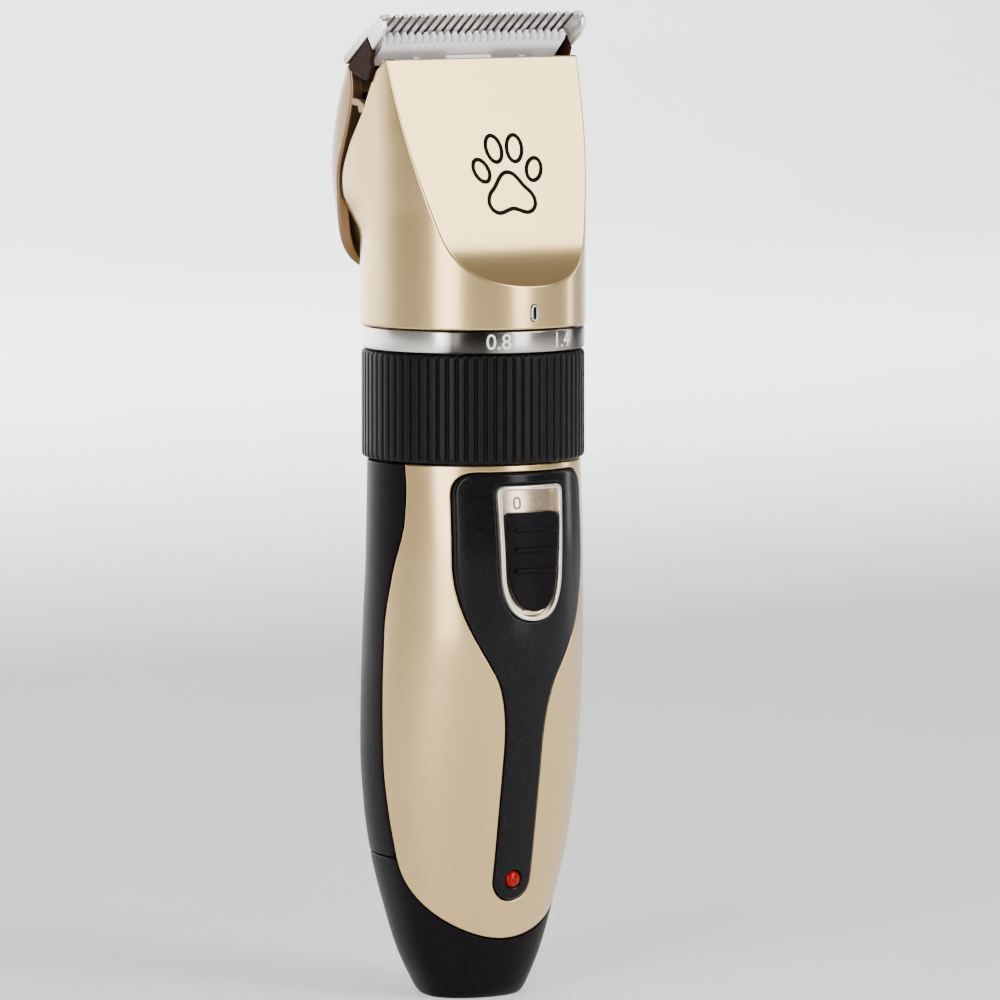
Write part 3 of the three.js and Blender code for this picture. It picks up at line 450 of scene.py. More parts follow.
def fill(loops, spacing, wraps):
    """Inner points and triangles that fill the loops. Loop points come first, in order."""
    rims = np.vstack(loops)
    low, high = rims.min(0), rims.max(0)
    if wraps:
        high[0] = low[0] + TURN - spacing
    grid = np.stack(np.meshgrid(*(np.arange(a, b + spacing, spacing) for a, b in zip(low, high))), -1)
    grid[1::2, :, 0] += spacing / 2
    inner = grid.reshape(-1, 2)
    flat_loops = [flat(loop, wraps) for loop in loops]
    flat_rims = np.vstack(flat_loops)
    inner = inner[within(flat(inner, wraps), flat_loops)]
    if len(inner):
        room = np.array([np.hypot(*(flat_rims - p).T).min() for p in flat(inner, wraps)])
        inner = inner[room > 0.55 * spacing * flat_scale(inner, wraps)]
    points = np.vstack([rims, inner])
    edges, first = [], 0
    for loop in loops:
        edges += [(first + i, first + (i + 1) % len(loop)) for i in range(len(loop))]
        first += len(loop)
    flat_points = flat(points, wraps)
    made, _, faces, origin, _, _ = delaunay_2d_cdt([Vector(p) for p in flat_points], edges, [], 0, 1e-9)
    if len(made) != len(points):
        raise ValueError(f"an outline crosses itself: {len(points)} points became {len(made)}")
    places = [ids[0] for ids in origin]
    triangles = np.array([[places[i] for i in face] for face in faces])
    middles = flat_points[triangles].mean(1)
    return inner, triangles[within(middles, flat_loops)]


def flat_scale(p, wraps):
    """How much the flat picture enlarges its surroundings at each point."""
    return np.exp((FAR_HEIGHT - p[:, 1]) / ARC) if wraps else np.ones(len(p))


def flat(p, wraps):
    """A flat picture of a skin; one that goes all the way round is seen from above, without shear."""
    if not wraps:
        return p
    reach = ARC * flat_scale(p, wraps)
    return np.stack([reach * np.cos(p[:, 0] / ARC), reach * np.sin(p[:, 0] / ARC)], 1)


def edge_directions(points, facing):
    """Directions out of the rim of a skin, from its rim's points and their normals."""
    along = np.roll(points, -1, 0) - np.roll(points, 1, 0)
    return unit(np.cross(along, facing))


def skin_pair(mesh, surface, places, triangles, outer, inner):
    """The outer and inner skins of a wall between two stand-offs."""
    skins = []
    for off, turn in ((outer, 1), (inner, -1)):
        ids = mesh.add(surface(places, off))
        facing = turn * normals(surface, places, off)
        for triangle in triangles[:, ::turn]:
            mesh.face(ids[triangle], facing[triangle])
        skins.append(ids)
    return skins


def spans(loops):
    """Where each loop's points are, in a stack of the loops."""
    ends = np.cumsum([len(loop) for loop in loops])
    return [slice(end - len(loop), end) for loop, end in zip(loops, ends)]


def sheet(mesh, surface, loops, outer, inner, roll, under=0.0, spacing=1.3, steps=4):
    """A closed plate between two stand-offs from a surface, with rounded edges.

    `roll` is the radius of its outer edges and `under` that of its inner edges.
    """
    turned = [loop if (area(loop) > 0) == (i == 0) else loop[::-1] for i, loop in enumerate(loops)]
    rims = [inset(loop, roll) for loop in turned]
    fields, triangles = fill(rims, spacing, False)
    skins = skin_pair(mesh, surface, np.vstack(rims + [fields]), triangles, outer, inner)
    for loop, span in zip(turned, spans(rims)):
        rim(mesh, surface, loop, [ids[span] for ids in skins], (outer, inner), (roll, under), steps=steps)


def rim(mesh, surface, loop, skins, heights, radii, stretch=None, wraps=False, steps=4):
    """The rim of a wall: a rounded outer edge, a wall and a rounded or square inner edge.

    It goes all the way round, or along a stretch of the loop. Returns its rows of points.
    """
    (outer, inner), (roll, under) = heights, radii
    closed = stretch is None
    at = slice(None) if closed else stretch
    up = normals(surface, loop, outer)
    out = edge_directions(surface(loop, outer), up)
    rows = [(skins[0][at], up[at])]

    def row(pull, off, direction):
        rows.append((mesh.add(surface(inset(loop, pull, wraps), off)[at]), direction[at]))

    for turn in np.arange(1, steps + 1) / steps * math.pi / 2:
        cos, sin = math.cos(turn), math.sin(turn)
        row(roll * (1 - sin), outer - roll * (1 - cos), cos * up + sin * out)
    if under:
        for turn in np.arange(steps) / steps * math.pi / 2:
            cos, sin = math.cos(turn), math.sin(turn)
            row(under * (1 - cos), inner + under * (1 - sin), cos * out - sin * up)
        rows.append((skins[1][at], -up[at]))
    else:
        row(0, inner, out)
    for (a, na), (b, nb) in zip(rows, rows[1:]):
        mesh.strip(b, a, nb, na, closed)
    if not under:
        mesh.strip(skins[1][at], rows[-1][0], -up[at], -up[at], closed)
    return [ids for ids, _ in rows] + [skins[1][at]]


def lathe(mesh, outline, around=96, centre=(0, 0), axis="z"):
    """A closed outline of (radius, height), anticlockwise, turned about an axis.

    It is creased at sharp corners.
    """
    turn = np.arange(around) * 2 * math.pi / around
    line = np.array(outline, float)
    step = np.roll(line, -1, 0) - line
    wall = unit(np.stack([step[:, 1], -step[:, 0]], 1))
    before = np.roll(wall, 1, 0)
    smooth = (wall * before).sum(1) > 0.6
    shared = unit(wall + before)
    ids = [mesh.add(on_axis(polar(row[0], turn, row[1]), centre, axis)) for row in line]
    for i in range(len(line)):
        j = (i + 1) % len(line)
        start = shared[i] if smooth[i] else wall[i]
        end = shared[j] if smooth[j] else wall[i]
        start, end = (on_axis(polar(n[0], turn, n[1]), (0, 0), axis) for n in (start, end))
        mesh.strip(ids[i], ids[j], start, end)


def on_axis(points, centre, axis):
    """Turned points moved to their axis: upright, or lengthwise towards the back."""
    if axis == "z":
        return points + (centre[0], centre[1], 0)
    return np.stack([points[:, 1] + centre[0], points[:, 2], points[:, 0] + centre[1]], 1)


def rounded(outline, radius, steps=3):
    """A closed outline of (radius, height) with each corner rounded."""
    points = []
    count = len(outline)
    for i in range(count):
        corner = np.array(outline[i], float)
        before, after = np.array(outline[i - 1], float), np.array(outline[(i + 1) % count], float)
        reach = min(radius, np.linalg.norm(before - corner) / 2.1, np.linalg.norm(after - corner) / 2.1)
        start = corner + unit(before - corner) * reach
        end = corner + unit(after - corner) * reach
        points += list(bezier(start, corner, end, steps=steps))
    return [tuple(p) for p in points]


def prism(mesh, side, x0, x1, radius=0.2):
    """A (y, z) outline run along X, with small chamfers at its ends."""
    side = np.array(side, float)
    if area(side) < 0:
        side = side[::-1]
    near, far = inset(side, radius), side
    rows = [(near, x0), (far, x0 + radius), (far, x1 - radius), (near, x1)]
    placed = [np.column_stack([np.full(len(line), x), line]) for line, x in rows]
    ids = [mesh.add(points) for points in placed]
    step = np.roll(side, -1, 0) - side
    wall = unit(np.column_stack([0 * step[:, 0], step[:, 1], -step[:, 0]]))
    for (a, b), lean in zip(zip(ids, ids[1:]), (-1, 0, 1)):
        for i in range(len(side)):
            j = (i + 1) % len(side)
            n = unit(wall[i] + (lean, 0, 0))
            mesh.face((a[i], a[j], b[j], b[i]), [n] * 4)
    mesh.cap(ids[0][::-1], (-1, 0, 0))
    mesh.cap(ids[-1], (1, 0, 0))


# ---- Materials ----


def feed(tree, made, inputs):
    """Sets a node's inputs to values, or links them to other nodes' sockets."""
    for key, value in inputs.items():
        if isinstance(value, bpy.types.NodeSocket):
            tree.links.new(value, made.inputs[key])
        else:
            made.inputs[key].default_value = value


def node(tree, kind, inputs, **settings):
    """A new shader node."""
    made = tree.nodes.new("ShaderNode" + kind)
    for key, value in settings.items():
        setattr(made, key, value)
    feed(tree, made, inputs)
    return made


def shader(name):
    """A new node material, with its principled shader."""
    look = bpy.data.materials.new(name)
    look.use_nodes = True
    return look, look.node_tree, look.node_tree.nodes["Principled BSDF"]


def own_place(tree):
    """The piece's own coordinates."""
    return node(tree, "TexCoord", {}).outputs["Object"]


def noise(tree, scale, stretch=(1, 1, 1)):
    """Noise over the piece's own coordinates, in cycles per millimetre."""
    spread = node(tree, "Mapping", {"Vector": own_place(tree), "Scale": stretch})
    inputs = {"Vector": spread.outputs["Vector"], "Scale": scale / MM, "Detail": 3.0}
    return node(tree, "TexNoise", inputs).outputs["Fac"]


def tinted(tree, factor, stops):
    """A colour by a factor, from stops of (place, colour)."""
    made = node(tree, "ValToRGB", {"Fac": factor})
    elements = made.color_ramp.elements
    elements.remove(elements[0])
    (place, colour), *others = stops
    elements[0].position, elements[0].color = place, (*colour, 1)
    for place, colour in others:
        elements.new(place).color = (*colour, 1)
    return made.outputs["Color"]


# Most of a noise lies between these.
NOISE_LOW, NOISE_HIGH = 0.3, 0.7


def ranged(tree, factor, low, high, start=NOISE_LOW, end=NOISE_HIGH):
    """A number between two, by a factor that goes from start to end."""
    inputs = {"Value": factor, "From Min": start, "From Max": end, "To Min": low, "To Max": high}
    return node(tree, "MapRange", inputs).outputs["Result"]


def bump(tree, factor, height):
    """A bump of a height in millimetres."""
    inputs = {"Height": factor, "Strength": 1, "Distance": height * MM}
    return node(tree, "Bump", inputs).outputs["Normal"]


def arithmetic(tree, operation, first, second):
    """One step of arithmetic on sockets or numbers."""
    return node(tree, "Math", {0: first, 1: second}, operation=operation).outputs["Value"]


def finish_of(name, low, high, rough, metal=0.0, grain=2.0, stretch=(1, 1, 1), relief=0.0, **shine):
    """A finish: two close colours and two roughnesses mixed by a grain, with a slight relief."""
    look, tree, body = shader(name)
    factor = noise(tree, grain, stretch)
    feed(
        tree,
        body,
        {
            "Base Color": tinted(tree, factor, [(NOISE_LOW, low), (NOISE_HIGH, high)]),
            "Roughness": ranged(tree, factor, *rough),
            "Metallic": metal,
            "IOR": shine.get("ior", 1.5),
            "Coat Weight": shine.get("coat", 0.0),
            "Coat Roughness": shine.get("coat_rough", 0.1),
        },
    )
    if relief:
        feed(tree, body, {"Normal": bump(tree, factor, relief)})
    return look


champagne = finish_of(
    "champagne_paint", (0.69, 0.48, 0.21), (0.72, 0.51, 0.24), (0.22, 0.26),
    metal=0.9, grain=9, relief=0.0004, coat=0.4, coat_rough=0.14,
)
case_black = finish_of(
    "satin_black_plastic", (0.004, 0.003, 0.004), (0.007, 0.006, 0.007), (0.34, 0.42),
    grain=3, relief=0.003, ior=1.13,
)
grip_black = finish_of(
    "grip_black_plastic", (0.004, 0.003, 0.003), (0.007, 0.006, 0.006), (0.36, 0.46),
    grain=4, relief=0.004, ior=1.22,
)
gloss_black = finish_of(
    "gloss_black_plastic", (0.003, 0.003, 0.004), (0.005, 0.005, 0.006), (0.16, 0.2),
    grain=1, relief=0.0003, ior=1.25,
)
chrome = finish_of(
    "brushed_chrome", (0.66, 0.64, 0.61), (0.74, 0.72, 0.69), (0.16, 0.22),
    metal=1, grain=1.2, stretch=(1, 1, 9), relief=0.0005,
)
bright_line = finish_of(
    "polished_rim", (0.84, 0.77, 0.66), (0.90, 0.84, 0.74), (0.2, 0.26), metal=0.8, grain=3
)
plate_gold = finish_of(
    "plate_gold", (0.60, 0.45, 0.30), (0.70, 0.56, 0.40), (0.2, 0.28),
    metal=1, grain=1.5, stretch=(6, 1, 1), relief=0.0008,
)
bronze = finish_of(
    "bronze_paint", (0.22, 0.13, 0.06), (0.28, 0.18, 0.09), (0.28, 0.36),
    metal=0.85, grain=6, relief=0.0006, coat=0.25,
)
frame_brown = finish_of(
    "dark_brown_plastic", (0.014, 0.005, 0.003), (0.030, 0.012, 0.007), (0.3, 0.4),
    grain=1.5, relief=0.001, ior=1.1,
)
ceramic = finish_of(
    "white_ceramic", (0.91, 0.88, 0.90), (0.95, 0.92, 0.94), (0.3, 0.38),
    grain=2.5, relief=0.001, coat=0.2,
)
red_lens = finish_of(
    "red_lens", (0.20, 0.001, 0.001), (0.30, 0.002, 0.002), (0.12, 0.18), grain=1.5, ior=1.25
)
white_print = finish_of(
    "white_print", (0.86, 0.86, 0.86), (0.92, 0.92, 0.92), (0.4, 0.5), grain=4, relief=0.001
)
grey_print = finish_of("grey_print", (0.10, 0.09, 0.08), (0.14, 0.13, 0.12), (0.4, 0.5), grain=4)
black_print = finish_of(
    "black_print", (0.004, 0.003, 0.003), (0.007, 0.006, 0.005), (0.5, 0.6), grain=4, ior=1.1
)
steel = finish_of(
    "ground_steel", (0.50, 0.49, 0.48), (0.62, 0.61, 0.60), (0.24, 0.34),
    metal=1, grain=1.1, stretch=(8, 1, 1), relief=0.0015,
)


def painted_reflection_band():
    """Brushed chrome with painted reflections round the band: bright, grey and dark patches by azimuth,
    the darkest one behind the first number.
    """
    look, tree, body = shader("painted_reflection_band")
    bright, grey, dark = (0.80, 0.77, 0.73), (0.42, 0.40, 0.37), (0.05, 0.045, 0.04)
    # Painted reflections: bright, grey and dark patches by azimuth stand in for what the chrome reflects.
    reflection_patches_painted = [
        (-180, bright), (-100, bright), (-52, bright), (-44, dark), (-27, dark),
        (-15, grey), (14, grey), (34, dark), (75, dark), (88, bright),
    ]
    place = node(tree, "SeparateXYZ", {"Vector": own_place(tree)}).outputs
    front = arithmetic(tree, "MULTIPLY", place["Y"], -1)
    azimuth = arithmetic(tree, "ARCTAN2", place["X"], front)
    share = ranged(tree, azimuth, 0, 1, -math.pi, math.pi)
    stops = [((degrees + 180) / 360, colour) for degrees, colour in reflection_patches_painted]
    grain = noise(tree, 1.2, (1, 1, 9))
    inputs = {"Base Color": tinted(tree, share, stops), "Roughness": ranged(tree, grain, 0.16, 0.22)}
    feed(tree, body, {**inputs, "Metallic": 1})
    return look


def painted_slot_shade(tree, place):
    """0 on the walls of the comb's slots, painted dark as the shade in the slots, and 1 everywhere else.
    """

    def over(value, limit, steepness):
        return arithmetic(tree, "MULTIPLY", arithmetic(tree, "SUBTRACT", value, limit), steepness)

    pitches = arithmetic(tree, "MULTIPLY", place["X"], 1 / (COMB["pitch"] * MM))
    from_slot = arithmetic(tree, "PINGPONG", arithmetic(tree, "ADD", pitches, 0.5), 0.5)
    beside = over(from_slot, COMB["slot"] / 2 / COMB["pitch"] + 0.01, 25)
    below = over(place["Z"], 174.5 * MM, -3000)
    outside = over(arithmetic(tree, "ABSOLUTE", place["X"], 0), 20.5 * MM, 9000)
    clear = arithmetic(tree, "MAXIMUM", arithmetic(tree, "MAXIMUM", beside, below), outside)
    return arithmetic(tree, "MINIMUM", arithmetic(tree, "MAXIMUM", clear, 0), 1)


def comb_steel():
    """Steel that is silver at the teeth and takes on a brassy tint towards the heel, with painted shade
    on the walls of its slots.
    """
    look, tree, body = shader("comb_steel")
    place = node(tree, "SeparateXYZ", {"Vector": own_place(tree)}).outputs
    low, high = (corner[2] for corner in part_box("fixed_blade"))
    fade = ranged(tree, place["Z"], 0, 1, low, high - 0.25 * (high - low))
    tint = tinted(tree, fade, [(0, (0.50, 0.36, 0.20)), (1, (0.92, 0.90, 0.91))])
    # Painted shade: near black on the slot walls, standing in for the shadow inside the slots.
    slot_wall_painted_shadow = (0.03, 0.025, 0.022, 1)
    first, second, result = 6, 7, 2  # the colour sockets of a mix node
    inputs = {"Factor": painted_slot_shade(tree, place), first: slot_wall_painted_shadow, second: tint}
    shaded = node(tree, "Mix", inputs, data_type="RGBA")
    grain = noise(tree, 1.1, (8, 1, 1))
    inputs = {
        "Base Color": shaded.outputs[result],
        "Roughness": ranged(tree, grain, 0.24, 0.36),
        "Metallic": 0.9,
        "Normal": bump(tree, grain, 0.002),
    }
    feed(tree, body, inputs)
    return look


comb_metal = comb_steel()
band_look_painted_reflections = painted_reflection_band()

# ---- Handle ----

seam_y = edge_curve(SIDE_SEAM)


def seam_line(gap=0.0):
    """The right side seam, from its lower end up, as (distance round, height)."""
    z = np.linspace(CAP_TOP, HANDLE_TOP, 100)
    return np.stack([handle.side(seam_y(z) + gap, z), z], 1)


def front_edge(gap=0.0, steps=44):
    """The lower right edge of the front shell, from the bottom centre up, as (distance round, height)."""
    turn = np.linspace(math.pi / 2, 0, steps)
    corner = handle.across(FRONT_EDGE["half"], CAP_TOP)[0]
    z = CAP_TOP - (FRONT_EDGE["drop"] + gap) * np.sin(turn)
    return np.stack([(corner + gap - FRONT) * np.cos(turn) + FRONT, z], 1)


def front_shell():
    """The champagne front of the handle, with a pocket for the black trim."""
    right = np.vstack([front_edge()[:-1], spaced(seam_line())])
    left = mirror_round(right, FRONT)
    outline = joined(right, spaced([right[-1], left[-1]]), left[::-1])
    pocket = spaced(trim_outline(0.22), 0.5, closed=True)
    pocket = np.stack([handle.across(pocket[:, 0], pocket[:, 1]), pocket[:, 1]], 1)
    mesh = Mesh()
    sheet(mesh, handle, [outline, pocket], 0, -WALL, CASE_EDGE, spacing=1.2)
    mesh.piece("front_shell", champagne, "handle")


def back_shell():
    """The back of the handle, with posts for the case screws, sunk into it."""
    base = CAP_TOP + GAP
    right = spaced(seam_line(GAP))
    right = right[right[:, 1] > base]
    left = mirror_round(right, BACK)
    foot = spaced([(right[0][0], base), (left[0][0], base)])
    outline = joined(foot, left, spaced([left[-1], right[-1]]), np.vstack([right[::-1], foot[:1]]))
    holes = []
    for x, z in CASE_SCREWS:
        ring = circle(x, z, POST["sink"])
        holes.append(np.stack([handle.across(ring[:, 0], ring[:, 1], back=True), ring[:, 1]], 1))
    mesh = Mesh()
    sheet(mesh, handle, [outline, *holes], 0, -WALL, CASE_EDGE, spacing=1.2)
    radius, sink, bore, low, seat = (POST[key] for key in ("radius", "sink", "bore", "low", "seat"))
    for x, z in CASE_SCREWS:
        half, _, rear, _ = handle.at(z)[0]
        reach = rear * math.sqrt(1 - ((abs(x) + radius) / half) ** 2) - 1.2
        post = [(bore, low), (radius, low), (radius, reach), (sink, reach), (sink, seat), (bore, seat)]
        lathe(mesh, post, 32, (x, z), "y")
    mesh.piece("back_shell", case_black, "handle")


def cap_rim():
    """The upper edge of the bottom cap, all the way round, with the cap on its left."""
    right = front_edge(GAP)
    right = right[right[:, 1] < CAP_TOP]
    corner = (handle.side(seam_y(CAP_TOP) + GAP, CAP_TOP)[0], CAP_TOP)
    right = np.vstack([right[:-1], corner])
    rear = spaced([(2 * BACK - corner[0], CAP_TOP), corner])
    return np.vstack([rear, right[::-1][1:], mirror_round(right, FRONT)[1:-1]])


def bottom_cap():
    """The cap at the foot of the handle, as one closed skin that runs in through the inlet."""
    loop = cap_rim()
    count = len(loop)
    even = loop[0, 0] - np.arange(count) * TURN / count
    top = inset(loop, CASE_EDGE, wraps=True)
    foot = 0.35
    radius, depth, bore = INLET["radius"], INLET["depth"], INLET["bore"]

    def side_row(share):
        u = even + (top[:, 0] - even) * share
        v = foot + (top[:, 1] - foot) * share
        return handle(np.stack([u, v], 1))

    def inlet_row(reach, z):
        return polar(reach, even / ARC, z) + (0, INLET["y"], 0)

    edge = handle(np.stack([even, 0 * even], 1))
    hub = inlet_row(radius, 0)
    under = edge + unit(hub - edge) * 0.4
    rows = [inlet_row(radius + 0.25, 0), hub + (under - hub) * 0.5, under]
    first_side = side_row(0)
    rows += [(1 - t) ** 2 * under + 2 * t * (1 - t) * edge + t**2 * first_side for t in (0.25, 0.5, 0.75)]
    rows += [side_row(share) for share in np.linspace(0, 1, 24) ** 1.2]
    for turn in np.arange(1, 5) / 4 * math.pi / 2:
        line = inset(loop, CASE_EDGE * (1 - math.sin(turn)), wraps=True)
        rows.append(handle(line, -CASE_EDGE * (1 - math.cos(turn))))
    rows += [handle(loop, 0.3 - WALL), handle(loop, -WALL)]
    floor = np.stack([even, 0 * even + CAP_FLOOR], 1)
    rows += [handle(floor, -WALL), inlet_row(bore, depth + 1.5), inlet_row(bore, depth + 0.1)]
    rows += [inlet_row(radius - 0.1, depth), inlet_row(radius, depth - 0.2), inlet_row(radius, 0.2)]
    mesh = Mesh()
    mesh.tube([row[::-1] for row in rows], closed=True)
    mesh.piece("bottom_cap", case_black, "handle")


def trim_and_switch():
    """The black trim, the switch's frame and plate with its off mark, and the charge light."""
    clear = 0.12
    bed = STAND_OFF["bed"]
    loops = [trim_outline(0), shield_outline(FRAME, clear), circle(0, LED["z"], LED["radius"] + clear)]
    mesh = Mesh()
    sheet(mesh, handle_front, loops, STAND_OFF["trim"], bed, 0.55, spacing=0.9, steps=5)
    mesh.piece("switch_trim", gloss_black, "handle")

    mesh = Mesh()
    bezel = shield_outline(FRAME, 0)
    loops = [bezel, inset(bezel, FRAME["line"] + 0.1)]
    sheet(mesh, handle_front, loops, STAND_OFF["frame"], bed, 0.3, spacing=0.8)
    mesh.piece("switch_frame", bright_line, "handle")

    mesh = Mesh()
    half, low, high = STEM_SLOT["half"], STEM_SLOT["low"], STEM_SLOT["high"]
    slot = spaced([(-half, low), (half, low), (half, high), (-half, high)], 0.5, closed=True)
    loops = [inset(bezel, FRAME["line"] + 0.2), slot]
    sheet(mesh, handle_front, loops, STAND_OFF["plate"], bed, 0.08, spacing=0.9)
    mesh.piece("switch_plate", plate_gold, "handle")

    mesh = Mesh()
    loops = slot_ring(ZERO["x"], ZERO)
    sheet(mesh, handle_front, loops, STAND_OFF["zero"], -0.55, 0.08, spacing=0.4, steps=2)
    mesh.piece("switch_zero_mark", grey_print, "handle", extra=True)

    mesh = Mesh()
    front = float(handle.at(LED["z"])[0][1])
    back, radius = front - LED["length"], LED["radius"]
    dome = [(radius, front), (1.2, front + 0.35), (0.7, front + 0.55), (0.01, front + 0.6)]
    lathe(mesh, [(0.01, back), (radius, back), *dome], 32)
    for points in mesh.points:
        points[:] = np.stack([points[:, 0], -points[:, 2], points[:, 1] + LED["z"]], 1)
    mesh.normals = [(n[0], -n[2], n[1]) for n in mesh.normals]
    mesh.piece("charge_light", red_lens, "handle")


def switch_button():
    """The button, hollow for the thumb, with ridges and a stem that runs in through the plate."""

    def dished(p, off=0.0):
        dip = DISH["depth"] * np.exp(-(((p[:, 1] - DISH["middle"]) / DISH["reach"]) ** 2))
        return handle_front(p, off - np.where(off > STAND_OFF["button"] / 2, dip, 0))

    mesh = Mesh()
    sheet(mesh, dished, [shield_outline(BUTTON, 0)], STAND_OFF["button"], -0.1, 0.35, spacing=0.7)
    for i in range(RIDGES["count"]):
        bar = slot_outline(0, 0, RIDGES["half_height"], RIDGES["half_width"])
        bar = np.stack([bar[:, 1], RIDGES["top"] - RIDGES["step"] * i + bar[:, 0]], 1)
        sheet(mesh, handle_front, [bar], STAND_OFF["ridge"], 0.2, 0.3, spacing=0.6)
    front = -float(handle.at(80)[0][1]) - 0.2
    back, low, high, half = STEM["back"], STEM["low"], STEM["high"], STEM["half"]
    prism(mesh, [(front, low), (back, low), (back, high), (front, high)], -half, half)
    mesh.piece("switch_button", case_black, "switch")


# ---- Length ring ----


def grip_ring():
    """The ring to turn, with a groove between each two ribs that fades out at the rounded ends."""
    per_rib = 12  # points round
    count = RING["ribs"] * per_rib
    angle = np.arange(count) * 2 * math.pi / count
    share = (np.arange(count) % per_rib) / per_rib
    groove = 0.5 - 0.5 * np.cos(2 * math.pi * np.clip((share - 0.48) / 0.52, 0, 1))
    groove = np.clip(groove * 1.5, 0, 1)

    def row(reach, z, depth):
        return polar(reach - RING["depth"] * groove * depth, angle, z)

    low, high, outer, inner = RING["low"], RING["high"], RING["outer"], RING["inner"]
    face = [(outer, z, 1) for z in np.linspace(low + 2, high - 2, 6)]
    # Distance in from the face and from the end, and the share of the groove's depth.
    corner = [(1.0, 0, 0), (0.62, 0.05, 0), (0.3, 0.22, 0.2), (0.08, 0.5, 0.7), (0, 0.9, 1)]
    start = [(outer - back, low + lift, depth) for back, lift, depth in corner]
    end = [(outer - back, high - lift, depth) for back, lift, depth in corner[::-1]]
    rows = [(inner, low, 0), *start, *face, *end, (inner, high, 0)]
    mesh = Mesh()
    mesh.tube([row(*place) for place in rows], closed=True)
    mesh.piece("grip_ring", grip_black, "adjusting_ring")


def number_band():
    low, high, outer = BAND["low"], BAND["high"], RING["outer"]
    outline = [(RING["inner"], low), (outer, low), (outer, high), (RING["inner"], high)]
    mesh = Mesh()
    lathe(mesh, rounded(outline, 0.35, 4), 192)
    mesh.piece("number_band", band_look_painted_reflections, "adjusting_ring")


def numbers():
    """Blade lengths printed round the band, standing a hair proud of it."""
    height, height_share = 2.75, 0.7  # of the digits, and how much of the font's size they take
    first, apart = -90 - 19.4, 38.8  # degrees
    outer = RING["outer"]
    for i, text in enumerate(("0.8", "1.4", "2.0")):
        curve = bpy.data.curves.new("number", "FONT")
        curve.body = text
        curve.align_x = "CENTER"
        curve.align_y = "CENTER"
        curve.size = height / height_share
        curve.resolution_u = 6
        flat_text = linked("number", curve)
        mesh = bpy.data.meshes.new_from_object(flat_text)
        bpy.data.objects.remove(flat_text)
        outline = np.array([v.co[:2] for v in mesh.vertices])
        faces = [list(face.vertices) for face in mesh.polygons]
        spin = math.radians(first + apart * i) + outline[:, 0] / outer
        z = (BAND["low"] + BAND["high"]) / 2 + outline[:, 1]
        out = polar(1, spin, 0)
        build = Mesh()
        sides = []
        for reach, turn in ((outer + 0.02, 1), (outer - 0.05, -1)):
            ids = build.add(polar(reach, spin, z))
            for face in faces:
                corners = face[::turn]
                build.face(ids[corners], turn * out[corners])
            sides.append(ids)
        top, low = sides
        edges = [edge for face in faces for edge in zip(face, face[1:] + face[:1])]
        for a, b in edges:
            if (b, a) not in edges:
                build.face((low[a], low[b], top[b], top[a]), [out[a]] * 4)
        build.piece(f"number_{i + 1}", white_print, "adjusting_ring", extra=True)


# ---- Head shell ----


def scoop_path():
    """The scoop's side outline as a function of the distance from its lower end."""
    top, bend, pull, low = (np.array(SCOOP[k], float) for k in ("top", "bend", "pull", "low"))
    fine = 2001
    share = np.linspace(0, 1, fine)

    def curve(t):
        t = t[:, None]
        return (1 - t) ** 2 * low + 2 * t * (1 - t) * pull + t**2 * bend

    bottom = -HEAD_SECTIONS[0][2]
    line = curve(share)
    start = share[np.searchsorted(line[:, 0], bottom)]
    share = np.linspace(start, 1, fine)
    line = curve(share)
    run = np.concatenate([[0], np.cumsum(np.linalg.norm(np.diff(line, axis=0), axis=1))])
    straight = top - bend
    length = np.linalg.norm(straight)

    def at(w):
        bent = curve(np.interp(w, run, share, left=start))
        beyond = np.maximum(w - run[-1], 0)[:, None] / length
        below = np.minimum(w, 0)[:, None] * unit(line[1] - line[0])
        return bent + straight * beyond + below

    return at, run[-1] + length


scoop_at, SCOOP_RUN = scoop_path()


def scoop(p, off=0.0):
    """The scoop, from (x, distance from its lower end)."""
    step = 0.01
    along = unit(scoop_at(p[:, 1] + step) - scoop_at(p[:, 1] - step))
    y, z = scoop_at(p[:, 1]).T
    return np.stack([p[:, 0], y - off * along[:, 1], z + off * along[:, 0]], 1)


def scoop_edge(spacing=0.8):
    """The right edge of the scoop from the bottom up: on the scoop, and round the skin."""
    w = np.linspace(0, SCOOP_RUN, 1500)
    y, z = scoop_at(w).T
    half, front, _, _ = head.at(z).T
    x = half * np.sqrt(np.clip(1 - (y / front) ** 2, 0, 1))
    x[0] = 0
    line = spaced(np.stack([x, y, z, w], 1), spacing)
    on_scoop = line[:, [0, 3]]
    on_skin = np.stack([ARC * np.arctan2(line[:, 1], line[:, 0]), line[:, 2]], 1)
    return on_scoop, on_skin


def shell_rear():
    """The right rear edge of the shell from the top down, round the skin."""
    edge = edge_curve(SHELL_REAR_EDGE)
    z = np.linspace(SHELL_REAR_EDGE[-1][1], SHELL_REAR_EDGE[0][1], 200)
    return spaced(np.stack([head.side(edge(z), z), z], 1))


